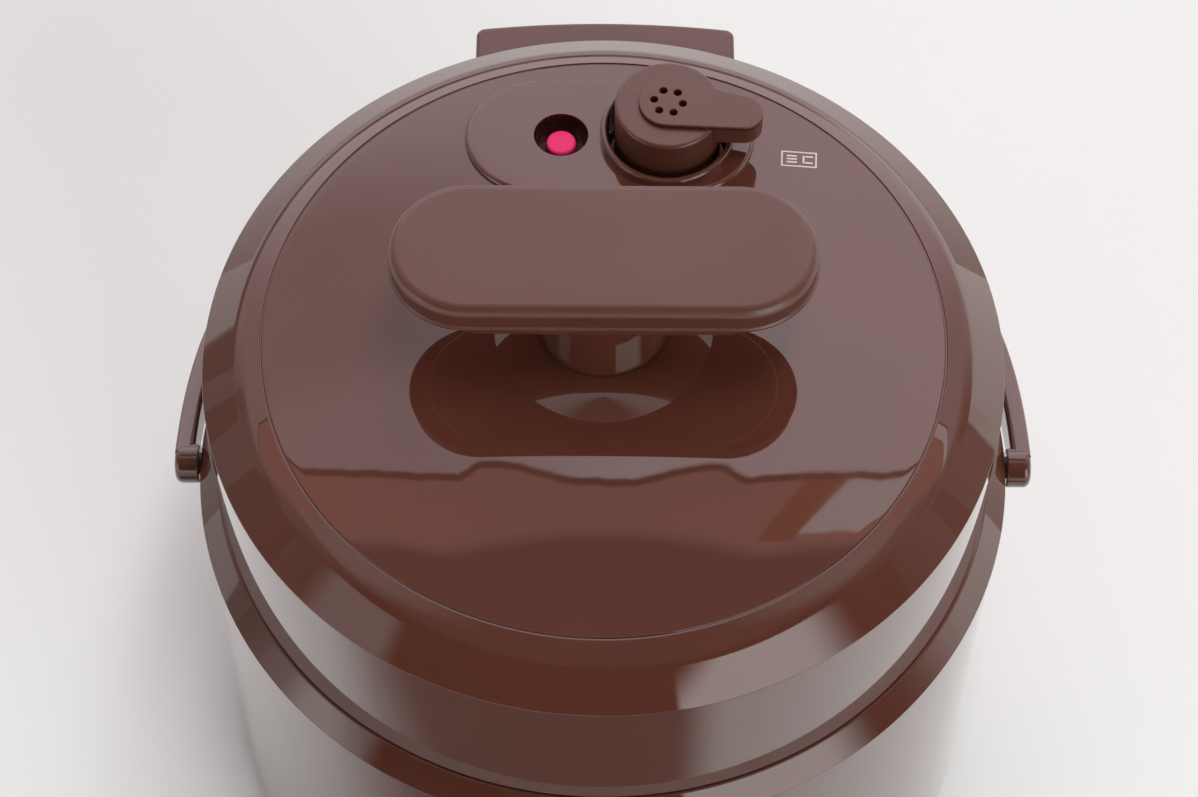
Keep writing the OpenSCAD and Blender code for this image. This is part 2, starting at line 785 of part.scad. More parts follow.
module bail_strap_plan(grow) {
    a = bail_half_w + grow;
    b = bail_reach + grow;
    inner_a = bail_half_w - bail_t - grow;
    inner_b = bail_reach - bail_t - grow;
    outer = bail_side(a, b);
    inner = bail_side(inner_a, inner_b);
    difference() {
        polygon(concat(outer, mirrored(outer)));
        polygon(concat([[inner_a, -1]], inner, mirrored(inner), [[-inner_a, -1]]));
    }
}

module bail_handle() {
    bore_l = 2 * hub_t;
    color(choc_gloss) bail_place() difference() {
        union() {
            translate([0, 0, -bail_h / 2]) linear_extrude(bail_h) bail_strap_plan(0);
            for (s = [-1, 1]) translate([s * (hub_in_x + bail_half_w) / 2, 0, 0]) rotate([0, 90, 0])
                cylinder(r = hub_r, h = bail_half_w - hub_in_x, center = true);
        }
        for (s = [-1, 1]) translate([s * (stud_end_x + free_gap - bore_l / 2), 0, 0]) rotate([0, 90, 0])
            cylinder(d = stud_d + 2 * run_fit, h = bore_l, center = true);
    }
}

module bail_grip() {
    mid = bail_reach - bail_t / 2;
    color(choc_matte) bail_place() difference() {
        translate([0, mid, -bail_h / 2 - 3]) slab(bail_grip_l, bail_grip_t, bail_h + 6);
        translate([0, 0, -bail_h / 2]) linear_extrude(bail_h) bail_strap_plan(0);
    }
}

module bail_studs() {
    flange_x = shell_r - 0.1 - skirt_t - stud_flange_t - 0.6;
    color(black) for (s = [-1, 1]) translate([0, 0, bail_z]) rotate([0, s * 90, 0]) {
        translate([0, 0, flange_x]) cylinder(d = stud_d, h = stud_end_x - flange_x);
        translate([0, 0, flange_x]) cylinder(d = stud_d + 2 * stud_flange, h = stud_flange_t);
    }
}

/* ---- Lid ---- */

module at_liner_screws(z) {
    for (a = liner_screw_angles) rotate(a) translate([liner_screw_circle_r, 0, z]) children();
}

module at_spacers(z) {
    for (a = spacer_angles) rotate(a) translate([spacer_circle_r, 0, z]) children();
}

module lid_rim() {
    slope = 1.2;
    shelf_in_r = disc_r - 5;
    color(choc_gloss) turned([[lid_r - lid_wall, lid_bottom_z], [lid_r, lid_bottom_z], [lid_r, edge_z],
        [land_r, land_z], [disc_r + groove_w, disc_z], [disc_r + groove_w, cover_low_z],
        [shelf_in_r, cover_low_z], [shelf_in_r, cover_low_z - 2], [land_r - slope, land_z - lid_wall - 1],
        [lid_r - lid_wall, edge_z - slope]]);
}

module lid_cover() {
    disc_in_z = cover_low_z;
    island_r = island_w / 2;
    cup_t = 1.6;
    screw_post_r = 4;
    boss_top_r = post_d / 2 + 0.5;
    boss_in_r = boss_d / 2 - 4;
    core_r = spindle_d / 2 + bush_t + 4;
    steps = 8;
    // Slope of the boss, steep at its rim and level at its top
    slope = [for (i = [0:steps]) let (t = 1 - i / steps)
        [boss_top_r + (boss_d / 2 - boss_top_r) * t, crown_z + boss_h * (1 - t * t)]];
    color(choc_gloss) difference() {
        union() {
            // Disc with a soft crown and a small round at its edge
            turned(concat([[0, disc_in_z], [disc_r, disc_in_z], [disc_r, disc_z - 0.4], [disc_r - 0.4, disc_z]],
                slope, [[0, boss_z]]));
            translate([(knob_x - float_x) / 4, island_y, disc_in_z + 1])
                shaped_slab(island_l, island_w, [[island_r, 0], [island_r, island_z - disc_in_z - 2],
                    [island_r - 0.4, island_z - disc_in_z - 1.3],
                    [island_r - 1.3, island_z - disc_in_z - 1]]);
            // Collar and cup of the valve well
            translate([knob_x, island_y, 0]) turned([[0, well_floor_z - well_floor_t],
                [valve_well_d / 2 + collar_t, well_floor_z - well_floor_t],
                [valve_well_d / 2 + collar_t, island_z + collar_h - 0.8],
                [valve_well_d / 2 + collar_t - 0.4, island_z + collar_h - 0.2],
                [valve_well_d / 2 + collar_t / 2, island_z + collar_h],
                [valve_well_d / 2 - 1, island_z + collar_h - 0.4], [0, island_z + collar_h - 0.4]]);
            translate([-float_x, island_y, well_floor_z - well_floor_t])
                cylinder(r = float_well_d / 2 + cup_t, h = island_z - well_floor_z);
            at_liner_screws(liner_z + liner_t) cylinder(r = screw_post_r, h = disc_in_z - liner_z - liner_t + 1);
        }
        translate([knob_x, island_y, well_floor_z]) cylinder(d = valve_well_d, h = 40);
        translate([knob_x, island_y, well_floor_z - 5]) cylinder(d = pipe_d + 0.4, h = 10);
        translate([-float_x, island_y, well_floor_z]) cylinder(d = float_well_d, h = 40);
        translate([-float_x, island_y, well_floor_z - 5]) cylinder(r = guide_r + 0.1, h = 10);
        translate([0, 0, disc_in_z - 5]) cylinder(d = spindle_d + 2 * bush_t, h = 20);
        // Hollow under the boss, around the core that holds the bush
        turned([[core_r, disc_in_z - 1], [boss_in_r, disc_in_z - 1], [boss_in_r, disc_in_z + 1.5],
            [post_d / 2, boss_z - lid_wall], [core_r, boss_z - lid_wall]]);
        at_liner_screws(liner_z) cylinder(d = 3, h = 13);
    }
}

module spindle_bush() {
    bush_r = spindle_d / 2 + bush_t;
    low_z = liner_z + liner_t;
    color(black) turned([[spindle_d / 2 + run_fit, low_z], [bush_r + 4, low_z], [bush_r + 4, cover_low_z],
        [bush_r, cover_low_z], [bush_r, boss_z], [spindle_d / 2 + run_fit, boss_z]]);
}

module lid_liner() {
    skirt_out_r = lid_r - lid_wall - 0.3;
    skirt_in_r = lock_out_r + 0.8;
    color(choc_matte) difference() {
        union() {
            translate([0, 0, liner_z]) cylinder(r = skirt_out_r, h = liner_t);
            translate([0, 0, lid_bottom_z + 1]) ring(skirt_out_r, skirt_in_r, liner_z - lid_bottom_z - 0.5);
        }
        translate([0, 0, liner_z - 1]) {
            cylinder(d = spindle_d + 1, h = 6);
            translate([knob_x, island_y, 0]) cylinder(d = pipe_d + 0.4, h = 6);
            translate([-float_x, island_y, 0]) cylinder(r = guide_r + 0.1, h = 6);
            at_liner_screws(0) cylinder(d = 3.2, h = 6);
            at_spacers(0) cylinder(d = 4.2, h = 6);
        }
    }
}

module lid_screws() {
    head_h = 1.8;
    color(steel) at_liner_screws(liner_z - head_h) screw(6, head_h, 2.9, liner_t + 9);
}

module inner_lid() {
    rim_out_r = pot_r + 3;
    color(alu) difference() {
        turned([[0, inner_lid_z], [pot_in_r - 10, inner_lid_z], [pot_in_r - 10, inner_lid_low_z],
            [pot_in_r - 8, inner_lid_low_z], [pot_in_r - 8, inner_lid_z], [rim_out_r - 2, inner_lid_z],
            [rim_out_r - 2, inner_lid_low_z], [rim_out_r, inner_lid_low_z], [rim_out_r, inner_lid_top_z],
            [0, inner_lid_top_z]]);
        translate([knob_x, island_y, inner_lid_z - 1]) cylinder(d = pipe_d, h = 5);
        translate([-float_x, island_y, inner_lid_z - 1]) cylinder(r = guide_r, h = 5);
        at_spacers(inner_lid_z - 1) cylinder(d = 4.2, h = 5);
    }
}

module lid_spacers() {
    color(steel) at_spacers(0) {
        translate([0, 0, inner_lid_top_z]) cylinder(d = spacer_d, h = liner_z - inner_lid_top_z);
        translate([0, 0, inner_lid_z - 2]) cylinder(d = spacer_d - 1, h = 2);
        translate([0, 0, inner_lid_z - eps]) cylinder(d = spacer_d / 2, h = liner_z + liner_t - inner_lid_z);
    }
}

module sealing_ring() {
    in_r = pot_in_r - 7.8;
    out_r = pot_r + 0.8;
    low_z = flange_z + free_gap;
    color(silicone) turned([[in_r, low_z + 3], [in_r + 2, low_z + 3], [out_r - 3, low_z], [out_r, low_z],
        [out_r, inner_lid_z], [in_r, inner_lid_z]]);
}

module steam_pipe() {
    low_z = inner_lid_z - 4;
    color(steel) translate([knob_x, island_y, 0]) turned([[pipe_bore_d / 2, low_z], [pipe_d / 2 + 1.5, low_z],
        [pipe_d / 2 + 1.5, inner_lid_z], [pipe_d / 2, inner_lid_z], [pipe_d / 2, pipe_top_z - 1.5],
        [pipe_bore_d / 2 + 1, pipe_top_z], [pipe_bore_d / 2, pipe_top_z]]);
}

module valve_strainer() {
    cup_r = pipe_d / 2 + 5;
    top_z = inner_lid_z;
    color(steel) translate([knob_x, island_y, 0]) difference() {
        turned([[0, top_z - 10], [cup_r, top_z - 10], [cup_r, top_z], [cup_r - 1, top_z],
            [cup_r - 1, top_z - 9],
            [0, top_z - 9]]);
        for (a = [0:45:315], z = [3, 6.5]) rotate(a) translate([cup_r, 0, top_z - z]) rotate([0, 90, 0])
            cylinder(d = 1.8, h = 4, center = true);
        for (a = [0:60:300]) rotate(a) translate([cup_r * 0.6, 0, top_z - 11]) cylinder(d = 1.8, h = 3);
    }
}

module float_guide() {
    bore_r = float_stem_d / 2 + run_fit;
    color(steel) translate([-float_x, island_y, 0]) turned([[bore_r, guide_low_z], [guide_r + 2, guide_low_z],
        [guide_r + 2, inner_lid_z], [guide_r, inner_lid_z], [guide_r, guide_top_z - 0.6],
        [guide_r - 0.6, guide_top_z], [bore_r, guide_top_z]]);
}

/* ---- Float pin ---- */

float_low_z = guide_low_z - free_gap - float_travel - seal_t;

module float_cap() {
    r = float_cap_d / 2;
    color(pink) translate([-float_x, island_y, 0]) turned([[0, float_top_z - float_cap_h],
        [r, float_top_z - float_cap_h], [r, float_top_z - 0.8], [r - 0.3, float_top_z - 0.2],
        [r - 0.9, float_top_z], [0, float_top_z]]);
}

module float_stem() {
    color(steel) translate([-float_x, island_y, float_low_z - 1.5]) {
        cylinder(d = float_stem_d + 3, h = 1.5);
        cylinder(d = float_stem_d, h = float_top_z - float_cap_h - float_low_z + 1.5);
    }
}

module float_seal() {
    color(silicone) translate([-float_x, island_y, float_low_z])
        ring(float_stem_d / 2 + 2, float_stem_d / 2, seal_t);
}

/* ---- T handle and lock ---- */

module handle_grip() {
    half = grip_w / 2;
    h = grip_t - underplate_t;
    color(choc_matte) translate([0, 0, grip_z + underplate_t]) difference() {
        shaped_slab(grip_l, grip_w, [[half - 0.8, 0], [half - 0.8, 0.6], [half, 1], [half, h - 3],
            [half - 0.4, h - 1.5], [half - 1.5, h - 0.4], [half - 3, h]]);
        for (s = [-1, 1]) translate([s * grip_screw_x, 0, -1]) cylinder(d = 3, h = 8);
        translate([0, 0, -1]) cylinder(d = spindle_d, h = 7);
    }
}

module handle_underplate() {
    half = grip_w / 2 - 0.4;
    color(choc_matte) translate([0, 0, grip_z]) difference() {
        shaped_slab(grip_l - 2 * underplate_end, 2 * half, [[half - 1, 0], [half, 1], [half, underplate_t]]);
        for (s = [-1, 1]) translate([s * grip_screw_x, 0, -1]) {
            cylinder(d = 3.2, h = 8);
            cylinder(d = 6.2, h = 2.2);
        }
        translate([0, 0, -1]) cylinder(d = spindle_d, h = 8);
    }
}

module handle_screws() {
    color(steel) for (s = [-1, 1]) translate([s * grip_screw_x, 0, grip_z]) screw(6, 1.2, 2.9, 6.4);
}

module handle_post() {
    r = post_d / 2;
    color(choc_gloss) turned([[spindle_d / 2, post_z], [r - 0.4, post_z], [r, post_z + 0.4], [r, grip_z],
        [spindle_d / 2, grip_z]]);
}

module handle_spindle() {
    color(steel) translate([0, 0, spider_z - 5])
        cylinder(d = spindle_d, h = grip_z + underplate_t + 5 - spider_z);
}

module spindle_nut() {
    color(steel) translate([0, 0, spider_z - 5]) difference() {
        cylinder(d = spindle_d + 10, h = 5, $fn = 6);
        translate([0, 0, -1]) cylinder(d = spindle_d, h = 7, $fn = 96);
    }
}

module lock_spider() {
    arm_w = 22;
    color(steel) difference() {
        translate([0, 0, spider_z]) intersection() {
            cylinder(r = lock_out_r, h = spider_t);
            union() {
                cylinder(r = 26, h = spider_t);
                for (a = spider_arm_angles) rotate(a) translate([0, -arm_w / 2, 0])
                    cube([lock_out_r + 5, arm_w, spider_t]);
            }
        }
        translate([0, 0, spider_z - 1]) cylinder(d = spindle_d, h = spider_t + 2);
    }
}

module lock_ring() {
    low_z = lock_lug_z;
    color(steel) difference() {
        turned([[lock_lug_r, low_z], [lock_out_r, low_z], [lock_out_r, spider_z], [lock_in_r, spider_z],
            [lock_in_r, low_z + lug_t], [lock_lug_r, low_z + lug_t]]);
        translate([0, 0, low_z - 1]) lug_gaps(lock_lug_r - 1, lock_in_r, lug_t + 1.5, -lock_turn);
    }
}

/* ---- Steam valve ---- */

module at_knob() {
    translate([knob_x, island_y, 0]) children();
}

module vent_holes(low_z, high_z) {
    for (i = [0:vent_count - 1]) rotate(30 + i * 360 / vent_count) translate([vent_ring_r, 0, low_z])
        cylinder(d = vent_d, h = high_z - low_z, $fn = 24);
}

module valve_knob() {
    r = knob_d / 2;
    color(choc_matte) at_knob() difference() {
        turned([[0, knob_z], [r, knob_z], [r, knob_top_z - 1.2], [r - 0.35, knob_top_z - 0.35],
            [r - 1.2, knob_top_z], [0, knob_top_z]]);
        translate([0, 0, knob_z - 1]) cylinder(r = chamber_r, h = chamber_top_z - knob_z + 1);
        vent_holes(chamber_top_z - 1, knob_top_z + 1);
    }
}

// Outline of the lever: a round end at the knob, a smaller round tip, and straight sides between.
module lever_plan() {
    reach = lever_reach - lever_tip_r;
    lean = acos((lever_r - lever_tip_r) / reach);
    tangent = [cos(lean), sin(lean)];
    circle(lever_r);
    translate([reach, 0]) circle(lever_tip_r);
    polygon([lever_r * tangent, [reach, 0] + lever_tip_r * tangent,
        [reach + lever_tip_r * tangent[0], -lever_tip_r * tangent[1]],
        [lever_r * tangent[0], -lever_r * tangent[1]]]);
}

module valve_lever() {
    top_z = knob_top_z + lever_plate_t;
    color(choc_matte) at_knob() difference() {
        rotate(-lever_angle) union() {
            translate([0, 0, knob_top_z]) linear_extrude(lever_plate_t) lever_plan();
            difference() {
                translate([0, 0, top_z - lever_t]) linear_extrude(lever_t) lever_plan();
                translate([0, 0, top_z - lever_t - 1]) cylinder(d = knob_d, h = lever_t - lever_plate_t + 1);
            }
        }
        vent_holes(knob_top_z - 1, top_z + 1);
    }
}

module valve_weight() {
    low_z = pipe_top_z + 0.2;
    color(steel) at_knob() turned([[0, low_z], [2.5, low_z], [6, low_z + 1.5], [6, chamber_top_z - 2],
        [0, chamber_top_z - 2]]);
}

module valve_retainer() {
    color(black) at_knob() difference() {
        translate([0, 0, knob_z + 1]) cylinder(r = chamber_r, h = 4);
        cylinder(r = pipe_d / 2 + run_fit, h = 400);
    }
}

base_pan();
rubber_feet();
base_screws();
outer_shell();
top_ring();
outer_pot();
inner_pot();
heating_plate();
sensor_guide();
sensor_cap();
sensor_spring();
thermal_fuse();
pressure_switch();
power_board();
power_inlet();
inlet_pins();
control_panel();
display_window();
control_board();
button_menu();
button_less();
button_more();
button_start();
hinge_bracket();
hinge_pin();
hinge_spring();
bail_studs();
bail_handle();
bail_grip();
lid_rim();
lid_cover();
hinge_cover();
lid_liner();
lid_screws();
inner_lid();
lid_spacers();
sealing_ring();
steam_pipe();
valve_strainer();
float_guide();
spindle_bush();
float_cap();
float_stem();
float_seal();
handle_grip();
handle_underplate();
handle_screws();
handle_post();
handle_spindle();
spindle_nut();
lock_spider();
lock_ring();
valve_knob();
valve_lever();
valve_weight();
valve_retainer();
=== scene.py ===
# %% [markdown]
# # Dressing a hinged-lid pressure cooker
# The engineering model arrives as a fixed frame: bare solids, each at its real place and size.
# This lesson gives them the skins, edges and finishes that the eye expects, one piece at a time.
# Everything is in metres, but a maker thinks in millimetres, so lengths below are in millimetres
# and are scaled by MM at the moment a mesh is made.

import json
import math

import bmesh
import bpy
from mathutils import Matrix, Vector

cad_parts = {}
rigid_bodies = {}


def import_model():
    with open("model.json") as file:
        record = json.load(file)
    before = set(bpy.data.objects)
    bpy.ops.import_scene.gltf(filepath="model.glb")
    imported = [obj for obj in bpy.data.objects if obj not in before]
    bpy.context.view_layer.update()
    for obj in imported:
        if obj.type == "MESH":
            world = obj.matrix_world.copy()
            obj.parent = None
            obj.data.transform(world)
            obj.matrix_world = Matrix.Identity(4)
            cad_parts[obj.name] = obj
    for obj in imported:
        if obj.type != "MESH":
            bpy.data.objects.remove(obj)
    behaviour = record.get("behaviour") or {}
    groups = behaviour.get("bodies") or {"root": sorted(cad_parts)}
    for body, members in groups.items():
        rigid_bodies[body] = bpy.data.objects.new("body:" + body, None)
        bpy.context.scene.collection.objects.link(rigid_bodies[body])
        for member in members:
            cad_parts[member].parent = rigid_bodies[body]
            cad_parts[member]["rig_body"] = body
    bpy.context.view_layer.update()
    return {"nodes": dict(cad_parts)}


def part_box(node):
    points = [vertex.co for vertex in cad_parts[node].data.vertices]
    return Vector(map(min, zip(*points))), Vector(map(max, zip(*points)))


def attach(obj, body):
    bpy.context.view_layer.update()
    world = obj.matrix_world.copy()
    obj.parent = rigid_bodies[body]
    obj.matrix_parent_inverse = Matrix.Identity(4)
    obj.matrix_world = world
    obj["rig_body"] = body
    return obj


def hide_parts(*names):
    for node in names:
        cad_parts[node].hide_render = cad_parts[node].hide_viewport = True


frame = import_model()
MM = 0.001
for material in bpy.data.materials:
    material.name = "bare_" + material.name

# %% [markdown]
# ## Reading sizes off the frame
# Most levels come from a solid's box, so a piece of skin can't drift away from what it covers. Small
# sizes such as an edge radius belong to one piece and are written there. The crown of the disc is drawn
# higher here than in the bare solid, which is nearly flat.


# %% Levels of the cooker, in millimetres
def box_mm(node):
    """Lowest and highest corner of a solid, in millimetres."""
    low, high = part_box(node)
    return low / MM, high / MM


rim_low, rim_high = box_mm("lid_rim")
LID_R = rim_high.x
LID_LOW = rim_low.z
DISC_Z = rim_high.z
BEVEL = Vector((12.1, 9.4))
LAND = Vector((5.9, 2.0))
EDGE_Z = DISC_Z - LAND.y - BEVEL.y
GROOVE = 0.6
DISC_R = LID_R - BEVEL.x - LAND.x - GROOVE
CROWN = 3.7
WALL = 2.5

shell_low, shell_high = box_mm("outer_shell")
BODY_R = shell_high.x
BODY_TOP = shell_high.z

knob_low, knob_high = box_mm("valve_knob")
VALVE_AT = (knob_low + knob_high) / 2
KNOB_R = (knob_high.x - knob_low.x) / 2
float_low, float_high = box_mm("float_cap")
FLOAT_AT = (float_low + float_high) / 2
print(f"lid radius {LID_R:.1f}, sharp edge at {EDGE_Z:.1f}, disc at {DISC_Z:.1f}")

# %% [markdown]
# ## Shader maths that reads like maths
# A node tree is easiest to follow when the sum is written as a sum. `Flow` wraps one output socket:
# adding, subtracting or multiplying flows adds Math nodes. `Finish` holds one material, and its
# `node` method adds any other node in one line. Colours go through Mix, so that they stay colours.


# %% Flow and Finish
class Flow:
    """One socket of a node tree that can be used in a sum."""

    def __init__(self, tree, socket):
        self.tree = tree
        self.socket = socket

    def math(self, operation, *values):
        maths = self.tree.nodes.new("ShaderNodeMath")
        maths.operation = operation
        for slot, value in zip(maths.inputs, values):
            plug(self.tree, slot, value)
        return Flow(self.tree, maths.outputs[0])

    def __add__(self, other):
        return self.math("ADD", self, other)

    def __sub__(self, other):
        return self.math("SUBTRACT", self, other)

    def __rsub__(self, other):
        return self.math("SUBTRACT", other, self)

    def __mul__(self, other):
        return self.math("MULTIPLY", self, other)

    __radd__ = __add__
    __rmul__ = __mul__

    def between(self, low, high):
        """0 where the flow is below low, 1 above high, and a smooth rise between."""
        step = self.tree.nodes.new("ShaderNodeMapRange")
        step.interpolation_type = "SMOOTHSTEP"
        for name, value in (("Value", self), ("From Min", low), ("From Max", high)):
            plug(self.tree, step.inputs[name], value)
        return Flow(self.tree, step.outputs[0])


def plug(tree, slot, value):
    """Sets a socket to a number or colour, or links a flow to it."""
    if isinstance(value, Flow):
        tree.links.new(value.socket, slot)
    else:
        slot.default_value = value


class Finish:
    """A node tree with short ways to add to it."""

    def __init__(self, tree):
        self.tree = tree

    def node(self, kind, settings=None, output=0, **sockets):
        """Adds a node. Socket names take underscores for spaces, and in3 means input number 3."""
        made = self.tree.nodes.new(kind)
        for name, value in (settings or {}).items():
            setattr(made, name, value)
        for name, value in sockets.items():
            place = int(name[2:]) if name[:2] == "in" and name[2:].isdigit() else name.replace("_", " ")
            plug(self.tree, made.inputs[place], value)
        return Flow(self.tree, made.outputs[output]) if made.outputs else None

    def place(self, stretch=(1, 1, 1)):
        """Object coordinates in metres, stretched along each axis."""
        where = self.node("ShaderNodeTexCoord", output="Object")
        return self.node("ShaderNodeVectorMath", {"operation": "MULTIPLY"}, in0=where, in1=stretch)

    def split(self, vector):
        """The three parts of a vector."""
        parts = self.tree.nodes.new("ShaderNodeSeparateXYZ")
        plug(self.tree, parts.inputs[0], vector)
        return [Flow(self.tree, socket) for socket in parts.outputs]

    def noise(self, size, detail=3.0, stretch=(1, 1, 1)):
        """Cloudy noise with features of about `size` millimetres, around 0.5."""
        return self.node("ShaderNodeTexNoise", Vector=self.place(stretch), Scale=1 / (size * MM),
                         Detail=detail, Roughness=0.55)

    def blend(self, amount, low, high):
        """A colour between low and high."""
        return self.node("ShaderNodeMix", {"data_type": "RGBA"}, output=2, in0=amount, in6=low, in7=high)

    def bump(self, height):
        """A surface normal bent by a height in millimetres."""
        return self.node("ShaderNodeBump", Height=height, Distance=MM, Strength=1.0)


def new_finish(name, **fixed):
    """A material with one shader. What is fixed is set on the shader's own sockets."""
    material = bpy.data.materials.new(name)
    material.use_nodes = True
    finish = Finish(material.node_tree)
    finish.material = material
    finish.shader = material.node_tree.nodes["Principled BSDF"]
    for socket, value in fixed.items():
        finish.shader.inputs[socket.replace("_", " ")].default_value = value
    return finish


def feed(finish, **flows):
    """Links what varies over the surface to the shader."""
    for socket, flow in flows.items():
        plug(finish.tree, finish.shader.inputs[socket.replace("_", " ")], flow)
    return finish.material


def shade(red, green, blue):
    """A colour as a paint chart gives it, 0 to 255, turned into the linear light that shaders use."""
    return tuple(((c / 255 + 0.055) / 1.055) ** 2.4 if c > 10 else c / 255 / 12.92
                 for c in (red, green, blue)) + (1.0,)


def tone(colour, factor):
    """The same colour, lighter or darker."""
    return tuple(c * factor for c in colour[:3]) + (1.0,)


finishes = {}
CHOCOLATE = shade(86, 47, 36)
print("chocolate in linear light:", [round(c, 3) for c in CHOCOLATE[:3]])

# %% [markdown]
# ## The chocolate plastic, polished
# The lid and body are one glossy moulding compound. A polished mould still leaves traces: long, soft
# sink marks that make a reflection waver, a finer orange peel, and a faint marbling in the colour.
# A perfectly smooth shader would look like glass, so each trace is a small bump or tint of its own.


# %% Polished plastic
def polished_plastic():
    finish = new_finish("choc_gloss", IOR=1.5, Coat_Weight=0.65, Coat_Roughness=0.02)
    marbling = finish.noise(26, detail=2)
    flecks = finish.noise(0.7, detail=1)
    tint = marbling * 0.7 + flecks * 0.3
    colour = finish.blend(tint, tone(CHOCOLATE, 0.90), tone(CHOCOLATE, 1.10))
    smudges = finish.noise(38, detail=4).between(0.45, 0.75)
    sink = finish.noise(34, detail=0) * 0.05
    peel = finish.noise(2.2, detail=1) * 0.0006
    return feed(finish, Base_Color=colour, Roughness=smudges * 0.02 + 0.02,
                Normal=finish.bump(sink + peel))


finishes["choc_gloss"] = polished_plastic()
print("made", finishes["choc_gloss"].name)

# %% [markdown]
# ## The chocolate plastic, textured
# The T handle, valve, hinge cover, panel and bail grip are the same compound from a mould etched to a
# fine grain. The grain scatters the light, which lifts the colour of surfaces that face a bright
# window. It is a bump half a millimetre across, over a satin roughness that rubs smoother in patches.


# %% Textured plastic
def textured_plastic():
    finish = new_finish("choc_matte", IOR=1.65)
    grain = finish.noise(0.45, detail=2)
    mottle = finish.noise(1.6, detail=2)
    tint = grain * 0.5 + mottle * 0.5
    colour = finish.blend(tint, tone(CHOCOLATE, 0.88), tone(CHOCOLATE, 1.14))
    rubbed = finish.noise(30, detail=2).between(0.35, 0.7)
    return feed(finish, Base_Color=colour, Roughness=0.37 - rubbed * 0.05,
                Normal=finish.bump(grain * 0.012))


finishes["choc_matte"] = textured_plastic()

# %% [markdown]
# ## Metals
# The pots are spun, so their brushing runs round the axis: noise that is stretched round the axis and
# narrow along the height and the radius. Turned parts keep a plain satin grain. All metals use full
# Metallic, and only the colour, the roughness and the bump vary.


# %% Steel, aluminium and brass
def metal(name, colour, base_roughness, stretch):
    finish = new_finish(name, Metallic=1.0)
    lines = finish.noise(0.8, detail=2, stretch=stretch)
    stain = finish.noise(20, detail=3)
    tinted = finish.blend(lines * 0.6 + stain * 0.4, tone(colour, 0.86), tone(colour, 1.08))
    return feed(finish, Base_Color=tinted, Roughness=lines * 0.10 + stain * 0.08 + base_roughness,
                Normal=finish.bump(lines * 0.004))


finishes["steel"] = metal("steel", shade(205, 205, 208), 0.16, (0.15, 0.15, 2.0))
finishes["aluminium"] = metal("aluminium", shade(214, 214, 216), 0.24, (0.2, 0.2, 2.4))
finishes["brass_pins"] = metal("brass_pins", shade(214, 180, 110), 0.18, (1, 0.1, 1))

# %% [markdown]
# ## Rubber, silicone and plain plastics
# Soft materials never mirror the room: they have a high roughness and a slightly dusty colour. The
# small pin is a bright dyed cap, which has to be seen across a kitchen, so its colour is almost pure.


# %% Soft and plain materials
def moulded(name, colour, roughness, grain_size, depth, spread=0.12, **fixed):
    finish = new_finish(name, **fixed)
    grain = finish.noise(grain_size, detail=2)
    dust = finish.noise(12, detail=3)
    tinted = finish.blend(grain * 0.4 + dust * 0.6, tone(colour, 1 - spread), tone(colour, 1 + spread))
    return feed(finish, Base_Color=tinted, Roughness=dust * 0.1 + (roughness - 0.05),
                Normal=finish.bump(grain * depth))


finishes["black_plastic"] = moulded("black_plastic", shade(34, 33, 34), 0.42, 0.5, 0.008)
finishes["foot_rubber"] = moulded("foot_rubber", shade(44, 43, 44), 0.78, 0.6, 0.02)
finishes["silicone"] = moulded("silicone", shade(222, 221, 214), 0.5, 0.9, 0.006, Subsurface_Weight=0.15,
                               Subsurface_Scale=0.002)
finishes["pin_pink"] = moulded("pin_pink", shade(244, 50, 120), 0.5, 0.5, 0.003, spread=0.05, IOR=1.35)
finishes["board"] = moulded("board", shade(34, 88, 58), 0.45, 2.0, 0.01, spread=0.2)
finishes["display_glass"] = moulded("display_glass", shade(20, 18, 20), 0.08, 8, 0.0004, Coat_Weight=0.6,
                                    Coat_Roughness=0.03)
print("finishes:", ", ".join(sorted(finishes)))

# %% [markdown]
# ## Dressing the solids that stay
# A solid whose shape is already right keeps its mesh. Each of its material slots is named after a
# finish in the record, so one loop paints them all.

# %% Paint the solids
slots = set()
for node in frame["nodes"].values():
    for index, old in enumerate(node.data.materials):
        name = old.name.removeprefix("bare_")
        node.data.materials[index] = finishes[name]
        slots.add(name)
print("slots in use:", ", ".join(sorted(slots)))

# %% [markdown]
# ## Drawing outlines
# Almost every piece here is an outline that is turned round an axis, or carried round a pill shape.
# An outline is a list of corners, and a corner may carry a third number, the radius that rounds it
# off. Real mouldings have no knife edges, and those small radii are what catches the light.


# %% Outlines with rounded corners
def rounded(corners, closed=True, steps=5):
    """The points of an outline, with each corner (x, y, radius) drawn as an arc."""
    points = []
    for i, corner in enumerate(corners):
        here = Vector(corner[:2])
        radius = corner[2] if len(corner) > 2 else 0
        if not radius or (not closed and i in (0, len(corners) - 1)):
            points.append(here)
            continue
        back = Vector(corners[i - 1][:2]) - here
        ahead = Vector(corners[(i + 1) % len(corners)][:2]) - here
        half = back.angle(ahead) / 2
        reach = min(radius / math.tan(half), 0.48 * back.length, 0.48 * ahead.length)
        radius = reach * math.tan(half)
        centre = here + (back.normalized() + ahead.normalized()).normalized() * radius / math.sin(half)
        start = here + back.normalized() * reach - centre
        end = here + ahead.normalized() * reach - centre
        sweep = start.angle(end)
        for k in range(steps + 1):
            t = k / steps
            mix = start * math.sin((1 - t) * sweep) + end * math.sin(t * sweep)
            points.append(centre + mix / math.sin(sweep))
    return points


def arc(centre, radius, start, end, steps=12):
    """Points of an arc, in degrees."""
    angles = [math.radians(start + (end - start) * k / steps) for k in range(steps + 1)]
    return [Vector((centre[0] + radius * math.cos(a), centre[1] + radius * math.sin(a))) for a in angles]


# %% [markdown]
# ## From outline to piece
# `skin` is the heart of the mesh code: it joins one ring of points to the next with four-sided faces.
# `keep` turns the result into an object with smooth faces and crisp creases, paints it, and says which
# body it rides on. Weighted normals keep the large faces flat beside their small rounded edges.


# %% Skin and keep
CREASE = math.radians(38)


